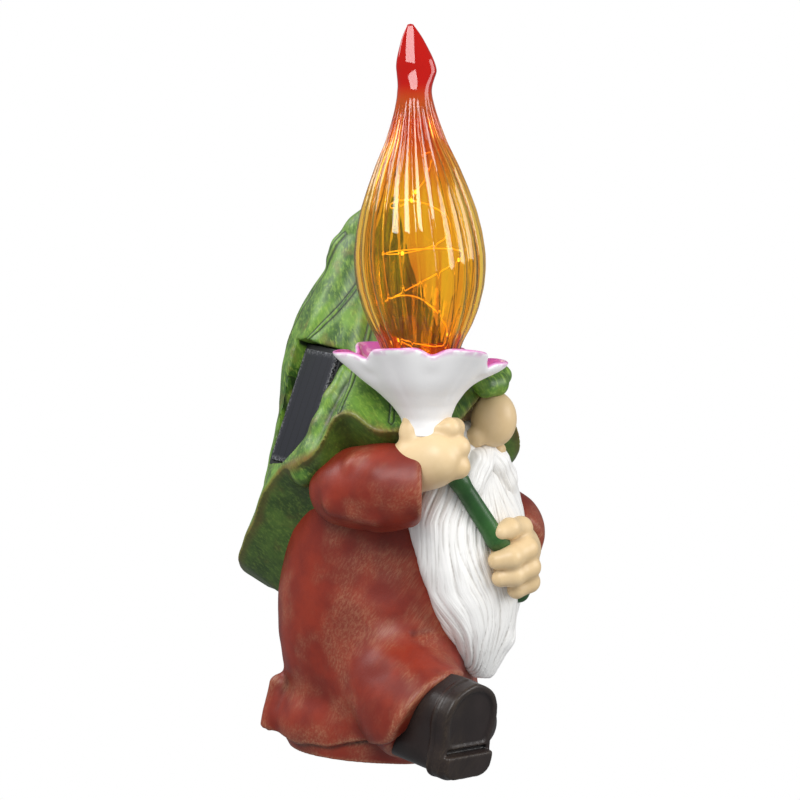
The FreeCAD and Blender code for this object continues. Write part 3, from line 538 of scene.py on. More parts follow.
def cell_finish() -> bpy.types.Material:
    """Dark solar cell under clear resin: lengthwise collector bars, dusty edges."""
    t = Tree(bpy.data.materials.new("solar_cell_resin"))
    uv = t.add("UVMap", uv_map="cell").outputs[0]
    axes = t.add("SeparateXYZ", {0: uv})
    across, along = axes.outputs[0], axes.outputs[1]
    wave = t.math("ABSOLUTE", t.math("SUBTRACT", t.math("FRACT", t.math("MULTIPLY", across, 5.0)), 0.5))
    bar = t.ramp(wave, 0.44, 0.49)
    colour = t.mix(bar, srgb("1D1E25"), srgb("0B0C10"))
    edge_x = t.math("ABSOLUTE", t.math("SUBTRACT", across, 0.5))
    edge_y = t.math("ABSOLUTE", t.math("SUBTRACT", along, 0.5))
    edge = t.math("MAXIMUM", t.ramp(edge_x, 0.40, 0.5), t.ramp(edge_y, 0.44, 0.5))
    dust = t.math("MULTIPLY", edge, t.ramp(t.noise(0.9, detail=4.0), 0.42, 0.66), clamp=True)
    colour = t.mix(t.math("MULTIPLY", dust, 0.7), colour, srgb("8A8A8C"))
    return t.surface(colour, 0.42, {"Specular IOR Level": 0.3})


class Finish(Enum):
    """Cast paints and plain finishes of the model; the leaf, beard, flower, glass and cell finishes are made by their
    own functions.
    """

    # each cast paint lists a base, the painted shade of its hollows, a lighter mottle and a dry-brush colour
    ROBE = CastPaint("robe_red_paint", "742113", "3A0F08", "882A15", "C09670", roughness=0.48, coat=0.12,
                     brush_amount=0.44)
    SKIN = CastPaint("skin_cream_paint", "D3B688", "9C7547", "DCC196", "E4CDA6", brush_amount=0.12, coat=0.15, bump=0.05,
                     mottle_mm=20.0, cavity_gain=1.6)
    BOOT = CastPaint("boot_brown_paint", "231B19", "0C0808", "2B2220", "5C4D38", brush_amount=0.3, roughness=0.4,
                     coat=0.15)
    STEM = CastPaint("stem_green_paint", "21481F", "0D200C", "2E5E28", "5A8A45", brush_turn=(0.0, 0.6, 0.0))
    # painted glow: the copper wire shines by itself, standing in for the beads' light on it
    COPPER = PlainFinish("fairy_light_copper_painted_glow", "FFC850", 0.3, 0.6, 0.9)
    BEAD = PlainFinish("lit_bead", "FFE08A", 0.3, 0.0, 3.0)
    BLACK = PlainFinish("black_plastic", "17171A", 0.5)
    WHITE = PlainFinish("white_plastic", "D8D6D0", 0.5)
    STEEL = PlainFinish("plated_steel", "B8B8B6", 0.3, 1.0)
    BOARD = PlainFinish("green_board", "1F5A32", 0.4)
    WRAP = PlainFinish("cell_wrap", "3A8A57", 0.35)


# ---------------------------------------------------------------- cast figure
class CastPiece:
    """A piece of the cast figure: its field, its mesh and its bookkeeping."""

    def __init__(self, name: str, node: str, slot: str, material: bpy.types.Material, step: float) -> None:
        self.name, self.node, self.slot, self.material, self.step = name, node, slot, material, step
        self.place = Place(node)

    def field(self, margin: float = 4.0) -> Field:
        """A grid round the CAD node's box."""
        return Field(self.place.low - margin, self.place.high + margin, self.step)

    def mesh(self, field: Field, distance: Array) -> bpy.types.Object:
        """Turns distances into the piece's mesh."""
        return make_object(self.name, *field.mesh_arrays(distance))

    def publish(self, field: Field, distance: Array, cavity_scale: float, rounds: int) -> bpy.types.Object:
        """Turns distances into the finished piece."""
        obj = self.mesh(field, distance)
        measure_cavity(obj, rounds, cavity_scale)
        return self.adopt(obj)

    def adopt(self, obj: bpy.types.Object) -> bpy.types.Object:
        """Gives the object the piece's material and body, and hides its node."""
        return adopt(obj, self.material, self.slot, self.node)


@dataclass(frozen=True)
class RobeShape:
    """Sizes of the robe."""

    levels: tuple = (  # height, centre y, half x, half y
        (0, -3.0, 44.0, 44.0), (6, -0.5, 45.8, 46.8), (13, 2.0, 46.6, 48.2), (20, 1.0, 45.4, 46.4),
        (27, -0.6, 43.6, 43.6), (38, -1.0, 44.6, 44.6), (50, -1.0, 46.0, 46.3), (68, -1.0, 46.2, 46.4),
        (90, -1.0, 43.4, 43.4), (110, -1.5, 39.6, 38.6), (124, -3.0, 30.5, 29.5), (131, -4.0, 18.0, 17.0))
    leg: tuple = (((-20, -10, 42), 22.0), ((-28, -26, 33.5), 23.6), ((-36, -39, 25.5), 22.8), ((-40, -50, 22), 21.8))
    leg_end: tuple = ((-40, -45.5, 22), (0.0, -0.86, -0.51))
    squareness: float = 2.15


class Robe(CastPiece):
    """The red robe: a barrel with a flared hem, the right leg stepping out and an under-robe below the hem."""

    hem = ((-180, 9), (-120, 7), (-60, 8), (0, 14), (20, 40), (30, 38), (39, 30), (51, 18), (62, 11.5), (82, 7),
           (97, 5.5), (115, 4.5), (130, 6), (147, 10), (180, 9))
    folds = (  # start, end, radius at start and end: raised folds
        ((-44, -30, 44), (-40, -20, 34), 5.0, 3.0),
        ((-30, 36, 26), (-34, 38, 8), 4.0, 4.0),
        ((22, 42, 50), (30, 40, 10), 3.5, 3.0),
        ((44, 10, 52), (46, 16, 10), 3.5, 3.0),
    )

    def build(self, shape: RobeShape) -> bpy.types.Object:
        """Works out the robe's distances and meshes them."""
        f = self.field(5.0)
        centre_y, half_x, half_y = smooth_table(shape.levels, f.z, 2.6)
        y = f.y - centre_y
        angle = np.degrees(np.arctan2(-f.x, -f.y))
        n = shape.squareness
        scaled = ((np.abs(f.x) / half_x) ** n + (np.abs(y) / half_y) ** n) ** (1 / n)
        kick = smooth_step(19, 10, f.z) * np.exp(-((angle - 140) / 34) ** 2)
        tuck = 6.0 * smooth_step(62, 40, f.z) * np.exp(-((angle + 30) / 24) ** 2)
        hollow = 1.6 * np.exp(-((f.z - 26) / 8) ** 2) * smooth_step(60, 100, angle) * smooth_step(175, 150, angle)
        bell = (scaled - 1) * np.sqrt(half_x * half_y) - kick + tuck + hollow
        leg = f.chain(shape.leg, 6.0)
        leg = smooth_max(leg, f.half_space(*shape.leg_end), 2.5)
        body = smooth_min(bell, leg, 8.0)
        crease = f.chain((((-35, -38, 58), 1.2), ((-24, -46, 59), 1.8), ((-10, -52, 54), 1.0)), 2.0)
        for start, end, ra, rb in self.folds:
            body = smooth_min(body, f.bar(start, end, ra, rb), 6.0)
        body = smooth_max(body, -crease, 3.0)
        body = body + 0.55 * value_noise(f.x, f.y, f.z, 19.0, 3) + 0.15 * value_noise(f.x, f.y, f.z, 6.0, 4)
        hem = smooth_table(self.hem, angle, 4.0, 0.0)[0] + 0.7 * value_noise(f.x, f.y, 0 * f.z, 9.0, 5)
        outer = smooth_max(body, hem - f.z, 1.2)
        under = body + 2.0
        robe = smooth_max(smooth_min(outer, under, 0.8), -f.z, 0.4)
        top = f.z - 128.0
        return self.publish(f, smooth_max(robe, top, 4.0), 1.2, 14)


class Sleeve(CastPiece):
    """A puffed sleeve with a thick cuff that the hand comes out of."""

    def build(self, stations: Stations, cuff_normal: Triple, folds: tuple, seed: int) -> bpy.types.Object:
        """stations run from shoulder to cuff; folds are raised bars."""
        f = self.field(5.0)
        tube = f.chain(stations, 8.0)
        for start, end, radius in folds:
            tube = smooth_min(tube, f.bar(start, end, radius, radius * 0.6), 5.0)
        tube = tube + 0.5 * value_noise(f.x, f.y, f.z, 13.0, seed) + 0.2 * value_noise(f.x, f.y, f.z, 5.0, seed + 1)
        end, radius = stations[-1]
        sleeve = smooth_max(tube, f.half_space(end, cuff_normal), 2.2)
        inner = np.array(end) - np.array(cuff_normal) / np.linalg.norm(cuff_normal) * 1.6
        hollow = smooth_max(tube + 3.2, -f.half_space(inner, cuff_normal), 2.0)
        sleeve = smooth_max(sleeve, -hollow, 1.2)
        return self.publish(f, sleeve, 1.2, 12)


@dataclass(frozen=True)
class HatShape:
    """Sizes of the leaf hat."""

    cone: tuple = (  # height, centre y, half x, half y
        (60, 2.5, 52.5, 57), (100, 2.5, 50.0, 55.0), (120, 2.5, 47.0, 50.5), (136, 2.5, 44.5, 47.5),
        (150, 3.0, 41.8, 44.5), (165, 5.5, 37.0, 41.0), (178, 8.0, 31.5, 37.0), (188, 9.5, 27.0, 31.0),
        (200, 10.0, 20.5, 23.0), (212, 8.5, 15.0, 16.5), (222, 6.5, 10.8, 11.5), (230, 4.5, 6.5, 7.5),
        (236, 3.0, 2.5, 3.0), (240, 3.0, 0.5, 0.5))
    brim: tuple = (  # angle, reach, height of the leaf's edge
        (-180, 67.0, 70.5), (-165, 66.0, 75), (-150, 65.5, 76), (-128, 60.0, 98), (-112, 57.0, 116), (-98, 57.0, 126),
        (-86, 60.5, 137), (-74, 60.0, 146), (-60, 60.0, 134), (-48, 61.0, 122), (-36, 60.0, 128), (-24, 57.0, 144),
        (-12, 56.0, 156), (0, 54.0, 160), (12, 50.5, 148), (24, 49.5, 139), (38, 51.0, 138), (51.6, 60.3, 143.4),
        (59.7, 62.3, 143.4), (64.2, 62.0, 146.5), (68.7, 61.3, 150.4), (73.7, 60.6, 151.4), (77.0, 61.6, 150.0),
        (79.1, 62.2, 146), (80.9, 62.0, 140.5), (84, 60.6, 135.1), (90.2, 57.8, 130.9), (101.4, 56.4, 127.0),
        (109.4, 56, 124.0), (116.9, 56, 118.7), (124, 56.8, 111.3), (132.6, 57.5, 99), (142.4, 61.8, 89),
        (151.4, 65.5, 78.5), (165, 67.2, 70.5), (180, 67.0, 70.5))
    veins: tuple = (  # each vein: angle and height along it
        ((78, 224), (90, 208), (104, 194), (118, 182), (132, 173)), ((140, 160), (144, 130), (148, 96)),
        ((70, 226), (68, 205), (70, 188), (74, 172), (76, 160), (76, 152)),
        ((48, 226), (44, 205), (46, 188), (50, 172), (52, 158), (54, 148)),
        ((150, 222), (158, 200), (160, 175), (162, 150), (164, 120), (166, 85)),
        ((-165, 222), (-160, 200), (-160, 175), (-160, 150), (-160, 120), (-162, 85)),
        ((-120, 222), (-118, 200), (-120, 175), (-122, 150), (-124, 118)),
        ((-80, 224), (-76, 205), (-78, 180), (-80, 160), (-80, 145)),
        ((-40, 224), (-38, 205), (-40, 185), (-44, 160), (-46, 135)),
        ((0, 224), (2, 205), (2, 188), (4, 172), (6, 160)),
    )


class LeafHat(CastPiece):
    """The leaf: a cone with a ruffled edge, a thick underside that the paint darkens as painted shade, and the pocket
    for the panel.
    """

    def build(self, shape: HatShape, panel: "PanelFrame") -> bpy.types.Object:
        """Works out the hat's distances and meshes them."""
        f = self.field(5.0)
        centre_y, half_x, half_y = smooth_table(shape.cone, f.z, 2.2)
        y = f.y - centre_y
        radius = np.sqrt(f.x ** 2 + f.y ** 2)
        angle = np.degrees(np.arctan2(-f.x, -f.y))
        reach, low = smooth_table(shape.brim, angle, 1.6, 360.0)
        scaled = np.sqrt((f.x / half_x) ** 2 + (y / half_y) ** 2) + 1e-5
        gradient = np.sqrt((f.x / half_x ** 2) ** 2 + (y / half_y ** 2) ** 2) / scaled + 1e-5
        cone = (scaled - 1) / gradient
        cone_reach = radius - cone
        share = np.clip((low + 26.0 - f.z) / 26.0, 0.0, 1.2) ** 1.6
        cone = cone - share * (reach - cone_reach)
        lobes = 1.3 * np.sin(np.radians(angle * 9 + 0.9 * (f.z - 120)))
        lobes = lobes * smooth_step(222, 175, f.z) * 0.6
        cone = (cone - lobes) * 0.86
        cone = cone + 0.9 * value_noise(f.x, f.y, f.z, 15.0, 11) + 0.3 * value_noise(f.x, f.y, f.z, 6.0, 12)
        steep = 0.55 + 0.75 * smooth_step(20, 60, np.abs(angle)) * smooth_step(165, 130, np.abs(angle))
        bottom = low - steep * np.clip(reach - radius - 1.5, 0, 60) - f.z
        hat = smooth_max(cone, bottom * 0.75, 2.2)
        tip = f.chain((((0, 4, 231), 4.0), ((-2, 12, 224), 4.8), ((-5, 19, 216), 4.4), ((-7, 22, 211), 3.4)), 4.0)
        hat = smooth_min(hat, tip, 5.0)
        hat = smooth_min(hat, panel.lap(f), 5.0)
        hat = smooth_max(hat, -panel.pocket(f), 0.9)
        obj = self.mesh(f, hat)
        vein = self.mark(obj, shape)
        displace(obj, 0.45 * np.exp(-(vein / 0.9) ** 2) - 1.1 * np.exp(-(vein / 3.4) ** 2))
        measure_cavity(obj, 12, 1.3)
        return self.adopt(obj)

    def mark(self, obj: bpy.types.Object, shape: HatShape) -> Array:
        """Stores each vertex's distance to the nearest vein and to the leaf's edge, and whether it is underneath, which
        the paint darkens as painted shade.
        """
        points, normals = vertex_arrays(obj)
        x, y, z = points.T
        angle = np.degrees(np.arctan2(-x, -y))
        reach, low = smooth_table(shape.brim, angle, 1.6, 360.0)
        radius = np.hypot(x, y)
        vein = np.full(len(points), 50.0)
        for line in shape.veins:
            line = sorted(line, key=lambda p: p[1])
            at = np.interp(z, [p[1] for p in line], [p[0] for p in line])
            off = (angle - at + 180) % 360 - 180
            centre_y = smooth_table(shape.cone, z, 2.2)[0]
            away = np.abs(np.radians(off)) * np.hypot(x, y - centre_y)
            away = away + np.clip(line[0][1] - z, 0, None) + np.clip(z - line[-1][1], 0, None)
            vein = np.minimum(vein, away)
        set_attribute(obj, "vein", np.clip(vein, 0, 20))
        set_attribute(obj, "edge", np.abs(z - low) + np.clip(reach - radius, 0, None) * 0.5)
        # faces that point down are marked for the painted shade under the leaf
        under = smooth_step(0.15, 0.5, -normals[:, 2]) * (z < 170)
        set_attribute(obj, "under", under)
        return np.where(under > 0.2, 20.0, vein)


class PanelFrame:
    """The solar panel's own axes, read from the CAD cell's corners."""

    def __init__(self, node_object: bpy.types.Object) -> None:
        points = np.array([v.co for v in node_object.data.vertices], float) / MM
        self.centre = (points.min(0) + points.max(0)) / 2
        spread = np.linalg.svd(points - points.mean(0), full_matrices=False)[2]
        long, wide, normal = spread
        normal = normal if normal[0] < 0 else -normal
        long = long if long[2] > 0 else -long
        wide = np.cross(long, normal)
        self.axes = Matrix(np.stack([wide, long, normal], 1).tolist())
        local = (points - self.centre) @ np.stack([wide, long, normal], 1)
        self.half = (local.max(0) - local.min(0)) / 2

    def world(self, local: Triple) -> Array:
        """Points given along the panel's axes, in the row frame."""
        return np.asarray(local, float) @ np.array(self.axes.transposed()) + self.centre

    def pocket(self, f: Field) -> Array:
        """Distance to the space cut out of the hat, which is open above and lapped by leaf at its low corner."""
        w, l, _ = self.half
        upper = f.block(self.world((-1.0, 1.0, 14.0)), (w + 2.2, l + 1.6, 18.5), self.axes, 0.8)
        corner = f.half_space(self.world((w + 2.2, -9.0, 0.0)), self.turned((0.78, -0.62, 0.0)))
        lower = f.block(self.world((-1.0, 0.5, -1.0)), (w + 2.2, l + 1.8, 3.4), self.axes, 0.8)
        return np.minimum(smooth_max(upper, corner, 2.0), lower)

    def lap(self, f: Field) -> Array:
        """Distance to the fold of leaf that stands beside the panel's front edge and wraps its low end."""
        w, l, _ = self.half
        side = [(self.world((w + 5.5, y, z)), r) for y, z, r in ((18, -4.0, 4.5), (6, -2.2, 5.0), (-6, -1.2, 5.4),
                                                                (-17, -1.0, 5.6))]
        end = [(self.world((w + 1.0, -l - 2.0, -1.0)), 4.6), (self.world((2.0, -l - 3.6, -4.0)), 3.0)]
        return f.chain(side + end, 4.0)

    def turned(self, local: Triple) -> Array:
        """A direction given along the panel's axes, in the row frame."""
        return np.asarray(local, float) @ np.array(self.axes.transposed())


class SolarPanel:
    """The cell in its pocket: a thin tray and a plate of clear resin over the dark cell."""

    def build(self, panel: PanelFrame) -> None:
        """Makes the cell plate with its stripes, and shows the CAD tray."""
        w, l, t = panel.half
        corners = [(sx * w, sy * l, sz * t) for sz in (-1, 1) for sx, sy in ((-1, -1), (1, -1), (1, 1), (-1, 1))]
        faces = [(0, 3, 2, 1), (4, 5, 6, 7), (0, 1, 5, 4), (1, 2, 6, 5), (2, 3, 7, 6), (3, 0, 4, 7)]
        obj = make_object("solar_cell_plate", panel.world(corners), faces, smooth=False)
        set_uv(obj, "cell", np.array([((x / w + 1) / 2, (y / l + 1) / 2) for x, y, _ in corners]))
        bevel = obj.modifiers.new("edges", "BEVEL")
        bevel.width, bevel.segments = 0.4 * MM, 2
        adopt(obj, cell_finish(), "solar_glass", "solar_cell")


class Beard(CastPiece):
    """The white beard: a pad that narrows to a swept tip, cut by long wavy strands."""

    levels = (  # height, centre x, centre y, half x, half y
        (32, 4.0, -46.5, 2.5, 2.5), (38, 2.0, -47.5, 8.5, 5.5), (46, 1.2, -48.0, 14.5, 8.2),
        (56, 0.5, -48.0, 22.0, 10.6), (68, 0.3, -47.2, 29.0, 12.8), (84, 0.0, -45.0, 34.0, 14.8),
        (102, 0.0, -42.0, 37.0, 16.0), (118, 0.0, -38.5, 33.0, 16.5), (130, 0.0, -37.0, 26.0, 15.0),
        (140, 0.0, -36.0, 18.0, 12.0), (146, 0.0, -36.0, 8.0, 8.0))

    def build(self) -> bpy.types.Object:
        """Works out the beard's distances, meshes them and adds the strands."""
        f = self.field(5.0)
        cx, cy, hx, hy = smooth_table(self.levels, f.z, 2.5)
        scaled = ((np.abs(f.x - cx) / hx) ** 2.3 + (np.abs(f.y - cy) / hy) ** 2.3) ** (1 / 2.3)
        pad = (scaled - 1) * np.sqrt(hx * hy) * 0.8
        pad = smooth_max(smooth_max(pad, f.z - 144.0, 3.0), 33.0 - f.z, 1.5)
        lock = smooth_min(pad, f.chain((((6, -56, 66), 6.0), ((9, -54, 50), 5.0), ((5.5, -50, 36), 2.4)), 3.0), 4.0)
        obj = self.mesh(f, lock)
        across, along = strand_coordinates(obj, 0.0, 135.0)
        relief = strand_relief(across, along, 5.2, 21) + strand_relief(across, along, 2.3, 22) * 0.38
        displace(obj, relief)
        measure_cavity(obj, 8, 2.0)
        set_uv(obj, "strands", np.stack([across, along], 1))
        return self.adopt(obj)


class Moustache(CastPiece):
    """Two swept lobes of hair under the nose."""

    def build(self) -> bpy.types.Object:
        """Works out the lobes' distances, meshes them and adds the strands."""
        f = self.field(5.0)
        lobes = None
        for side in (-1, 1):
            lobe = f.chain((((side * 1.0, -50.5, 130.5), 4.6), ((side * 7, -50.5, 126), 6.0),
                            ((side * 14, -49, 118), 7.0), ((side * 19.5, -46.5, 109), 6.4),
                            ((side * 24, -44.5, 101), 2.6)), 5.0)
            lobes = lobe if lobes is None else smooth_min(lobes, lobe, 2.0)
        obj = self.mesh(f, lobes)
        x, y, z = vertex_arrays(obj)[0].T
        across = np.abs(x) * 0.75 + z * 0.6
        along = np.abs(x) * 0.6 - z * 0.8
        displace(obj, strand_relief(across, along, 3.6, 23) * 0.7 + strand_relief(across, along, 1.8, 24) * 0.3)
        measure_cavity(obj, 8, 2.0)
        set_uv(obj, "strands", np.stack([across, along], 1))
        return self.adopt(obj)


def strand_coordinates(obj: bpy.types.Object, centre_x: float, top: float) -> tuple[Array, Array]:
    """Coordinates across and along the hair: strands fan from the chin, wave a little and gather at the tip."""
    x, y, z = vertex_arrays(obj)[0].T
    down = top - z
    spread = np.interp(down, [0, 30, 60, 85, 100], [0.85, 1.0, 0.9, 0.62, 0.4])
    around = np.arctan2(x - centre_x - 0.03 * down, -(y + 24.0))
    wave = 3.4 * np.sin(down / 15.0 + around * 2.2) + 1.1 * np.sin(down / 7.0 - around * 4.0)
    return around * 30.0 / spread + wave, down


def strand_relief(across: Array, along: Array, width: float, seed: int) -> Array:
    """Rounded strands about width across, with sharp grooves between, that fade in and out along their length."""
    drift = value_noise(across / 9, along / 34, 0 * along, 1.0, seed) * width * 0.9
    phase = (across + drift) / width
    strand = np.abs(np.sin(np.pi * phase)) ** 0.6
    fade = 0.6 + 0.4 * value_noise(across / 12, along / 20, 0 * along, 1.0, seed + 50)
    return (strand - 0.62) * fade


class Hand(CastPiece):
    """A fist: a palm, a thumb and three or four curled fingers."""

    def build(self, palm: tuple, thumb: Stations, fingers: tuple, wrist: Stations) -> bpy.types.Object:
        """palm is a centre, radii and a turn; thumb, fingers and wrist are chains of stations."""
        f = self.field(5.0)
        centre, radii, turn = palm
        hand = f.ellipsoid(centre, radii, Matrix.Rotation(math.radians(turn[0]), 3, turn[1]))
        hand = smooth_min(hand, f.chain(wrist, 3.0), 6.0)
        hand = smooth_min(hand, f.chain(thumb, 2.0), 2.6)
        for finger in fingers:
            hand = smooth_min(hand, f.chain(finger, 2.0), 2.2)
        return self.publish(f, hand, 1.4, 10)


class Boot(CastPiece):
    """The raised boot, seen sole first: a welted sole that faces forwards, a heel with a step, and a round leather toe."""

    def build(self, heel: Triple, splay: float, lean: float, roll: float) -> bpy.types.Object:
        """heel is the point on the ground under the heel's front; the angles are in degrees."""
        f = self.field(5.0)
        turn = (Matrix.Rotation(math.radians(-splay), 3, "Z") @ Matrix.Rotation(math.radians(90 + lean), 3, "X")
                @ Matrix.Rotation(math.radians(roll), 3, "Z"))
        x, y, z = f.local(heel, turn)
        half = smooth_table(((-2, 9), (0, 13.2), (4, 15.4), (10, 15.8), (16, 15.2), (25, 16.9), (30, 16.2), (35, 13.6),
                             (38.5, 9.6), (41, 5.0), (43, 1)), y, 1.2)[0]
        ends = np.maximum(-y, y - 41.0)
        outline = smooth_max(np.abs(x) - half, ends, 6.0)
        sole = smooth_max(outline, np.abs(z + 3.0) - 3.0, 1.6)
        inset = smooth_max(smooth_max(outline + 3.6, y * -1 + 15.0, 3.0), np.abs(z) - 0.9, 0.8)
        sole = smooth_max(sole, -inset, 0.8)
        step = smooth_max(smooth_max(outline + 1.0, y - 11.5, 1.0), np.abs(z - 0.6) - 2.0, 1.2)
        gap = smooth_max(np.abs(y - 12.6) - 1.0, np.abs(x) - 12.5, 0.8)
        sole = smooth_max(smooth_min(sole, step, 0.8), -smooth_max(gap, np.abs(z) - 1.6, 0.8), 0.8)
        welt = smooth_max(outline - 0.4, np.abs(z + 7.0) - 0.9, 0.8)
        crown = smooth_table(((0, 43.0), (8, 45.0), (16, 43.0), (26, 35.0), (40, 26.0)), -z, 2.0)[0]
        upper = smooth_max(np.abs(x) - half + 0.2, np.maximum(-y, y - crown), 12.0)
        upper = smooth_max(upper, np.abs(z + 20.0) - 16.0, 6.0)
        boot = smooth_min(smooth_min(sole, welt, 0.8), upper, 1.0)
        boot = smooth_max(boot, -f.z, 0.6)
        return self.publish(f, boot, 1.4, 10)


class PlainCast(CastPiece):
    """A cast piece made from ellipsoids and chains of bars."""

    def build(self, eggs: tuple, chains: tuple, k: float) -> bpy.types.Object:
        """eggs are centres with radii; chains are lists of stations."""
        f = self.field(4.0)
        out = None
        for centre, radii in eggs:
            egg = f.ellipsoid(centre, radii)
            out = egg if out is None else smooth_min(out, egg, k)
        for stations in chains:
            bar = f.chain(stations, 2.0)
            out = bar if out is None else smooth_min(out, bar, k)
        return self.publish(f, out, 1.2, 8)


# ---------------------------------------------------------------- flower and flame
@dataclass(frozen=True)
class FlowerShape:
    """Sizes of the flower."""

    petals: int = 6
    notch_angle: float = 48.0
    wall: float = 2.2
    profile: tuple = (  # share of the height, reach at a petal, reach at a notch
        (0.0, 10.6, 10.6), (0.08, 10.0, 10.0), (0.2, 10.4, 10.2), (0.36, 13.4, 13.0), (0.52, 18.4, 17.4),
        (0.68, 25.2, 22.5), (0.84, 31.6, 26.5), (0.95, 36.0, 28.5), (1.0, 37.4, 29.0))


class Flower(CastPiece):
    """The trumpet of six petals, with soft ribs outside, a rolled edge and a scalloped foot."""

    rim_heights = ((-162, 1.0), (-102, -1.0), (-60, -4.5), (-30, -5.5), (-8, -1.5), (18, 3.0), (48, 4.4), (78, 4.2),
                   (108, 2.0), (138, -0.5), (170, 1.0), (198, 1.0))

    def surface(self, shape: FlowerShape, share: float, angle: Array, inset: float) -> Array:
        """Points of the trumpet: the reach swings between petal and notch, and each petal's middle rises or droops."""
        petal, notch = smooth_table(shape.profile, share, 0.03)
        phase = np.radians((angle - shape.notch_angle) * shape.petals / 2)
        wave = np.abs(np.cos(phase)) ** 2.4
        reach = petal + (notch - petal) * wave - inset
        ribs = 0.55 * np.cos(np.radians((angle - shape.notch_angle) * shape.petals)) * smooth_step(0.3, 0.9, share)
        crease = -0.5 * np.exp(-(np.sin(np.radians((angle - shape.notch_angle - 30) * 3)) / 0.22) ** 2)
        reach = reach + (ribs + crease * smooth_step(0.35, 0.7, share)) * (1 if inset == 0 else 0.4)
        lift = smooth_table(self.rim_heights, angle, 9.0, 360.0)[0] * smooth_step(0.55, 1.0, share)
        notch_dip = 3.2 * np.abs(np.cos(phase)) ** 9 * smooth_step(0.72, 1.0, share)
        low, high = self.place.low[2], self.place.high[2]
        height = low + (high - low - 4.6) * share + lift - notch_dip
        a = np.radians(angle)
        bend = 1.0 - smooth_step(0.0, 0.7, share)
        return np.stack([self.axis[0] + 1.5 * bend - reach * np.sin(a),
                         self.axis[1] - 2.3 * bend - reach * np.cos(a), height], -1)

    def build(self, shape: FlowerShape, axis: Array) -> bpy.types.Object:
        """Makes the trumpet as one closed sheet that runs up the outside, over the rim and down the inside."""
        self.axis = axis
        columns = 360
        angle = np.arange(columns) * 360.0 / columns
        outer = np.linspace(0, 1, 64)
        inner = np.linspace(1, 0.28, 44)
        rows = [self.surface(shape, s, angle, 0.0) for s in outer]
        rim = [(self.surface(shape, 1.0, angle, shape.wall * u) + [0, 0, 1.0 * math.sin(math.pi * u)])
               for u in (0.15, 0.35, 0.65, 0.85)]
        rows += rim + [self.surface(shape, s, angle, shape.wall) for s in inner]
        points = np.array(rows).reshape(-1, 3)
        faces = sheet_faces(len(rows), columns).tolist()
        last = (len(rows) - 1) * columns
        base, floor = len(points), len(points) + 1
        points = np.vstack([points, points[:columns].mean(0), points[last:last + columns].mean(0)])
        faces += [((i + 1) % columns, i, base) for i in range(columns)]
        faces += [(last + i, last + (i + 1) % columns, floor) for i in range(columns)]
        obj = make_object(self.name, points, faces, turn_out=True)
        shares = np.concatenate([np.repeat(outer, columns), np.repeat(np.ones(4), columns),
                                 np.repeat(inner, columns), [0.0, 0.28]])
        inside = np.concatenate([np.zeros(len(outer) * columns), np.repeat([0.7, 0.95, 1.0, 1.0], columns),
                                 np.ones(len(inner) * columns), [0.0, 1.0]])
        set_attribute(obj, "rim", shares)
        set_attribute(obj, "inside", inside)
        measure_cavity(obj, 10, 1.5)
        return self.adopt(obj)


@dataclass(frozen=True)
class FlameShape:
    """Sizes of the blown glass flame."""

    flutes: int = 22
    swirl: float = 26.0
    flute_depth: float = 0.75
    wall: float = 1.5
    profile: tuple = (  # height above the foot, reach
        (0, 12.5), (5, 14.2), (10, 16.0), (14.7, 17.8), (20.4, 21.0), (27.7, 23.9), (36.6, 26.2), (44, 27.0),
        (50.4, 27.0), (59.4, 25.8), (68.3, 23.7), (77.3, 20.6), (86.6, 16.9), (95.5, 12.7), (102.9, 10.1),
        (108.1, 8.5), (113.8, 7.2), (118, 6.9), (121, 7.1), (124.6, 7.6), (128, 7.1), (132, 5.9), (138, 3.7),
        (141.5, 1.9), (143.3, 0.5))


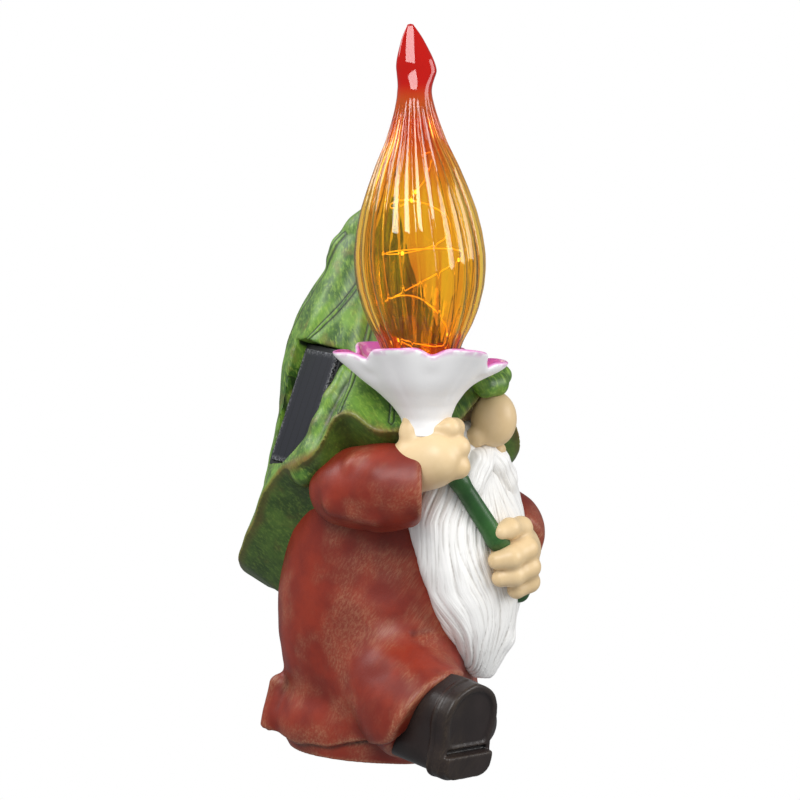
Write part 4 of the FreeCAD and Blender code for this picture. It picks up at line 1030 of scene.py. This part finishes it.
class Flame(CastPiece):
    """The fluted flame: an open-footed drop with a thin wall and a flattened, twisted solid tip."""

    lean = (-1.8, 2.8)

    def ring(self, shape: FlameShape, height: float, angle: Array, inset: float) -> Array:
        """Points at one height: a circle pressed into flutes that swirl upwards; the tip is flattened and turned."""
        total = shape.profile[-1][0]
        reach = smooth_table(shape.profile, height, 1.2)[0]
        flute = np.abs(np.sin(np.radians((angle + shape.swirl * height / total) * shape.flutes / 2)))
        depth = shape.flute_depth * smooth_step(4, 25, height) * smooth_step(118, 96, height)
        reach = reach - depth * (1 - flute) ** 1.2 + 0.25 * np.sin(np.radians(3 * angle + 2 * height)) - inset
        flat = smooth_step(116, 126, height)
        turned = np.radians(angle) + 0.5 * flat
        wide = reach * np.cos(turned) * (1 + 0.10 * flat)
        deep = reach * np.sin(turned) * (1 - 0.30 * flat)
        shift = np.interp(height, [0, 116, 124, 132, 143.3], [0, 0, 0.9, 0.2, -0.9])
        a = math.radians(57.0)
        share = (height / total) ** 1.5
        x = self.foot[0] + (wide + shift) * math.cos(a) + deep * math.sin(a) + self.lean[0] * share
        y = self.foot[1] - (wide + shift) * math.sin(a) + deep * math.cos(a) + self.lean[1] * share
        return np.stack([x, y, np.full_like(x, self.foot[2] + height)], -1)

    def build(self, shape: FlameShape, foot: Array) -> bpy.types.Object:
        """Makes the outside, rolls it under the foot and closes it with the inside."""
        self.foot = foot
        columns = 352
        angle = np.arange(columns) * 360.0 / columns
        up = np.concatenate([np.linspace(0, 118, 100), np.linspace(119, 143.1, 34)])
        down = np.linspace(117, 0.8, 90)
        outside = [self.ring(shape, h, angle, 0.0) for h in up]
        inside = [self.ring(shape, h, angle, shape.wall) for h in down]
        tip = outside[-1].mean(0) + [0, 0, 0.3]
        roof = inside[0].mean(0) + [0, 0, 1.0]
        rows = inside + [self.ring(shape, 0.1, angle, shape.wall * 0.6)] + outside
        points = np.vstack([np.array(rows).reshape(-1, 3), roof, tip])
        faces = sheet_faces(len(rows), columns).tolist()
        last = (len(rows) - 1) * columns
        top, crown = len(points) - 2, len(points) - 1
        faces += [((i + 1) % columns, i, top) for i in range(columns)]
        faces += [(last + i, last + (i + 1) % columns, crown) for i in range(columns)]
        obj = make_object(self.name, points, faces, turn_out=True)
        x, y, z = vertex_arrays(obj)[0].T
        around = np.arctan2(x - self.foot[0], y - self.foot[1])
        tone = value_noise(9 * np.cos(around), 9 * np.sin(around), z / 40, 1.0, 41)
        set_attribute(obj, "tone", 0.5 + 0.5 * tone)
        set_attribute(obj, "height", (z - self.foot[2]) / shape.profile[-1][0])
        return self.adopt(obj)


class FairyLights:
    """The bare copper wire wound loosely inside the flame, with a painted glow of its own, and small lit beads."""

    def build(self, foot: Array) -> None:
        """Sweeps a thin round wire along a loose, kinked coil and puts a bead on every few turns."""
        count = 900
        s = np.linspace(0, 1, count)
        height = 3.5 + 86.0 * s + 6.0 * np.sin(9 * s * math.pi)
        reach = 3.0 + 15.5 * np.sin(np.pi * s) ** 0.7 * (1 - 0.25 * s) + 2.0 * np.sin(17 * s)
        angle = 2 * np.pi * 4.2 * s + 0.8 * np.sin(11 * s)
        path = np.stack([foot[0] - reach * np.sin(angle), foot[1] - reach * np.cos(angle), foot[2] + height], -1)
        run = np.gradient(path, axis=0)
        run /= np.linalg.norm(run, axis=1)[:, None]
        side = np.cross(run, [0.0, 0.0, 1.0])
        side /= np.linalg.norm(side, axis=1)[:, None]
        rise = np.cross(side, run)
        t = np.linspace(0, 2 * np.pi, 8, endpoint=False)
        ring = side[:, None] * np.cos(t)[None, :, None] + rise[:, None] * np.sin(t)[None, :, None]
        points = (path[:, None] + 0.28 * ring).reshape(-1, 3)
        faces = sheet_faces(count, 8).tolist() + [list(range(7, -1, -1)), list(range((count - 1) * 8, count * 8))]
        wire = make_object("fairy_wire", points, faces, turn_out=True)
        # the wire's finish carries a painted glow
        adopt(wire, Finish.COPPER.value.build(), "copper_wire", "led_string")
        beads, quads, base = [], [], 0
        rings, sides = 7, 12
        south, north, size = (rings - 1) * sides, rings * sides, rings * sides + 2
        u, v = np.meshgrid(np.linspace(0, np.pi, rings + 2)[1:-1], np.linspace(0, 2 * np.pi, sides, endpoint=False),
                           indexing="ij")
        ball = np.stack([np.sin(u) * np.cos(v), np.sin(u) * np.sin(v), np.cos(u)], -1).reshape(-1, 3)
        for i in range(60, count - 40, 120):
            beads += [path[i] + ball * [0.55, 0.55, 0.9], path[i] + np.array([[0, 0, 0.9], [0, 0, -0.9]])]
            quads += (sheet_faces(rings, sides) + base).tolist()
            for j in range(sides):
                after = (j + 1) % sides
                quads += [[base + after, base + j, base + north],
                          [base + south + j, base + south + after, base + north + 1]]
            base += size
        lights = make_object("fairy_beads", np.vstack(beads), quads, turn_out=True)
        adopt(lights, Finish.BEAD.value.build(), "copper_wire")


# ---------------------------------------------------------------- CAD pieces shown as they are
def finish_cad_nodes(nodes: dict, finishes: dict) -> None:
    """Gives the CAD pieces that show, or that sit inside, their plain finishes."""
    for node, material in finishes.items():
        nodes[node].data.materials.clear()
        nodes[node].data.materials.append(material)


# ---------------------------------------------------------------- light and camera
def light_scene() -> None:
    """White surroundings for the camera, softer light on the object, and two large soft boxes."""
    world = bpy.data.worlds.new("studio")
    bpy.context.scene.world = world
    t = Tree(world)
    path = t.add("LightPath").outputs
    seen = t.math("MAXIMUM", path["Is Camera Ray"], path["Is Transmission Ray"])
    strength = t.add("Math", {0: path["Is Glossy Ray"], 1: -0.36, 2: 0.60}, operation="MULTIPLY_ADD").outputs[0]
    soft = t.add("Background", {0: (0.93, 0.96, 1.0, 1.0), 1: strength}).outputs[0]
    plain = t.add("Background", {0: (1.0, 1.0, 1.0, 1.0), 1: 1.0}).outputs[0]
    t.add("OutputWorld", {0: t.add("MixShader", {0: seen, 1: soft, 2: plain}).outputs[0]})
    for name, place, size, power in (("key", (-0.75, -0.25, 0.75), 0.5, 7.5), ("fill", (0.35, -0.95, 0.45), 0.6, 6.0),
                                     ("back", (-0.2, 0.8, 0.8), 0.6, 5.0)):
        lamp = bpy.data.lights.new(name, "AREA")
        lamp.shape, lamp.size, lamp.energy = "SQUARE", size, power
        obj = bpy.data.objects.new(name, lamp)
        obj.location = place
        obj.rotation_mode = "QUATERNION"
        obj.rotation_quaternion = (Vector((0, 0, 0.14)) - Vector(place)).to_track_quat("-Z", "Y")
        bpy.context.scene.collection.objects.link(obj)


def place_camera() -> None:
    """A long lens at the gnome's right front, a little above the middle."""
    azimuth, pitch, distance = math.radians(-57.0), math.radians(6.7), 1.2
    back = Vector((math.sin(azimuth) * math.cos(pitch), -math.cos(azimuth) * math.cos(pitch), math.sin(pitch)))
    right = Vector((math.cos(azimuth), math.sin(azimuth), 0))
    camera = bpy.data.cameras.new("camera")
    camera.lens, camera.sensor_width = 124.74, 36.0
    camera.clip_start, camera.clip_end = 0.05, 50.0
    obj = bpy.data.objects.new("camera", camera)
    obj.location = right * 0.0065 + Vector((0, 0, 0.15)) + back * distance
    obj.rotation_mode = "QUATERNION"
    obj.rotation_quaternion = (-back).to_track_quat("-Z", "Y")
    bpy.context.scene.collection.objects.link(obj)
    bpy.context.scene.camera = obj


# ---------------------------------------------------------------- the whole figure
def build_figure(nodes: dict) -> None:
    """Builds every cast piece of the gnome but the flower, and the solar cell plate."""
    robe, skin = Finish.ROBE.value.build(), Finish.SKIN.value.build()
    boot, stem, leaf, beard = Finish.BOOT.value.build(), Finish.STEM.value.build(), leaf_paint(), beard_paint()
    Robe("robe_cast", "robe", "robe_paint", robe, 0.85).build(RobeShape())
    Sleeve("right_sleeve_cast", "right_sleeve", "robe_paint", robe, 0.7).build(
        (((-33, 0, 117), 12.0), ((-42, -9, 117.5), 14.2), ((-47, -20, 119.0), 15.2), ((-48.5, -33, 121.0), 15.6),
         ((-45.0, -47.5, 122.5), 15.0)), (0.55, -0.83, 0.0),
        (((-60, -14, 113), (-60, -34, 109), 3.0), ((-58, -24, 130), (-57, -38, 126), 3.0),
         ((-50, -30, 106), (-46, -42, 108), 3.0)), 31)
    Sleeve("left_sleeve_cast", "left_sleeve", "robe_paint", robe, 0.7).build(
        (((35, 2, 112), 12.0), ((42, -8, 106), 13.6), ((45.5, -21, 97.5), 14.4), ((43.5, -36, 91), 14.3),
         ((34, -46.5, 86.5), 12.0)), (-0.62, -0.75, -0.25),
        (((57, -16, 96), (57, -34, 88), 2.6), ((48, -30, 80), (38, -44, 78), 2.6)), 33)
    panel = PanelFrame(nodes["solar_cell"])
    LeafHat("leaf_hat_cast", "leaf_hat", "leaf_paint", leaf, 0.85).build(HatShape(), panel)
    SolarPanel().build(panel)
    Beard("beard_cast", "beard", "beard_paint", beard, 0.6).build()
    Moustache("moustache_cast", "moustache", "beard_paint", beard, 0.6).build()
    PlainCast("head_cast", "head", "skin_paint", skin, 1.0).build((((0, -14, 147), (27.5, 28.5, 30.5)),), (), 3.0)
    PlainCast("nose_cast", "nose", "skin_paint", skin, 0.5).build(
        (((1.8, -53.9, 145.2), (9.6, 9.8, 12.0)), ((-5.5, -49.5, 138.0), (4.2, 4.5, 4.6))), (), 2.2)
    PlainCast("lip_cast", "lower_lip", "skin_paint", skin, 0.4).build((((6.5, -53, 131.5), (4.2, 3.4, 3.2)),), (), 1.0)
    Hand("right_hand_cast", "right_hand", "skin_paint", skin, 0.5).build(
        ((-41.0, -50.5, 133.4), (11.5, 14.5, 12.2), (-30, "Z")),
        (((-42.0, -45.0, 136), 6.0), ((-45.5, -43.5, 144), 5.3), ((-46.5, -43.5, 149.0), 3.6)),
        ((((-44, -52, 146), 3.0), ((-40, -58, 146), 4.0), ((-34.5, -57, 145.5), 4.3)),
         (((-43, -57, 138), 3.5), ((-38, -61, 138), 4.5), ((-32.5, -58, 137.5), 4.6)),
         (((-43, -57, 130), 3.5), ((-38, -61, 130), 4.5), ((-32.5, -58, 130), 4.5))),
        (((-44, -44, 131), 11.0), ((-45, -38, 127), 11.0)))
    Hand("left_hand_cast", "left_hand", "skin_paint", skin, 0.5).build(
        ((3.5, -61.5, 88.5), (12.5, 9.5, 13.0), (20, "Y")),
        (((14, -60, 93), 5.2), ((5, -65.5, 99), 4.8), ((-6, -66.5, 100.5), 4.2), ((-11, -65, 99.5), 3.4)),
        ((((13, -64, 92), 4.4), ((2, -70, 91), 4.9), ((-8, -68.5, 88.5), 4.6), ((-12, -64, 87.5), 3.9)),
         (((14, -63, 85), 4.4), ((4, -70, 83), 4.9), ((-5, -68, 80.5), 4.5), ((-9, -64, 79.5), 3.8)),
         (((15, -62, 79), 4.2), ((7, -68.5, 76), 4.4), ((0, -66.5, 73.5), 4.0))),
        (((10, -60, 88), 9.5), ((20, -57, 88), 9.5)))
    Boot("right_boot_cast", "right_boot", "boot_paint", boot, 0.6).build((-41.0, -65.0, 0.0), 9.0, 9.0, -4.0)
    PlainCast("left_boot_cast", "left_boot", "boot_paint", boot, 0.8).build(
        (), ((((20, -30, 8), 13.0), ((20, -10, 9), 12.0)),), 3.0)
    PlainCast("stem_cast", "flower_stem", "leaf_paint", stem, 0.5).build((), ((
        ((-40, -45, 143), 3.7), ((-32.5, -50, 129.5), 3.8), ((-25.5, -54, 121.5), 3.9), ((-10.1, -62.2, 96.5), 4.3),
        ((0, -64.3, 86.5), 4.5), ((9, -61, 78), 5.0), ((15, -59, 73.5), 6.0), ((16.5, -58, 69), 4.6)),), 3.0)
    curl = PlainCast("hat_curl_cast", "hat_curl", "leaf_paint", leaf, 0.6).build((), ((
        ((-9, -50.5, 163), 3.0), ((-6, -54.5, 160), 4.6), ((0, -56.0, 160.5), 5.0), ((6, -55, 163.5), 4.0),
        ((9, -52, 167), 2.4)),), 3.0)
    for name in ("edge", "vein"):
        set_attribute(curl, name, np.full(len(curl.data.vertices), 20.0))


def main() -> None:
    """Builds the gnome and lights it."""
    logging.basicConfig(level=logging.INFO, format="%(message)s")
    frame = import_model()
    nodes = frame["nodes"]
    build_figure(nodes)
    axis = np.array([-41.0, -44.5])
    Flower("flower_cast", "flower_cup", "flower_paint", flower_paint(), 1.0).build(FlowerShape(), axis)
    foot = np.array([axis[0], axis[1], Place("glass_flame").low[2] + 1.0])
    Flame("glass_flame_blown", "glass_flame", "amber_glass", glass_finish(), 1.0).build(FlameShape(), foot)
    FairyLights().build(foot)
    black, white, steel = (Finish[n].value.build() for n in ("BLACK", "WHITE", "STEEL"))
    board, wrap = Finish.BOARD.value.build(), Finish.WRAP.value.build()
    finish_cad_nodes(nodes, {
        "base_plate": black, "panel_tray": black, "battery_case": black, "battery_door": black,
        "switch_body": black, "board_components": black, "panel_lead": black, "lamp_lead": black,
        "battery_lead_plus": black, "battery_lead_minus": black, "lamp_plug": white, "switch_slider": white,
        "door_screws": steel, "board_screws": steel, "contact_plus": steel, "contact_minus": steel,
        "contact_spring": steel, "switch_pins": steel, "control_board": board, "battery_cell": wrap})
    light_scene()
    place_camera()
    bpy.context.scene.view_settings.view_transform = "Standard"


if __name__ == "__main__":
    main()
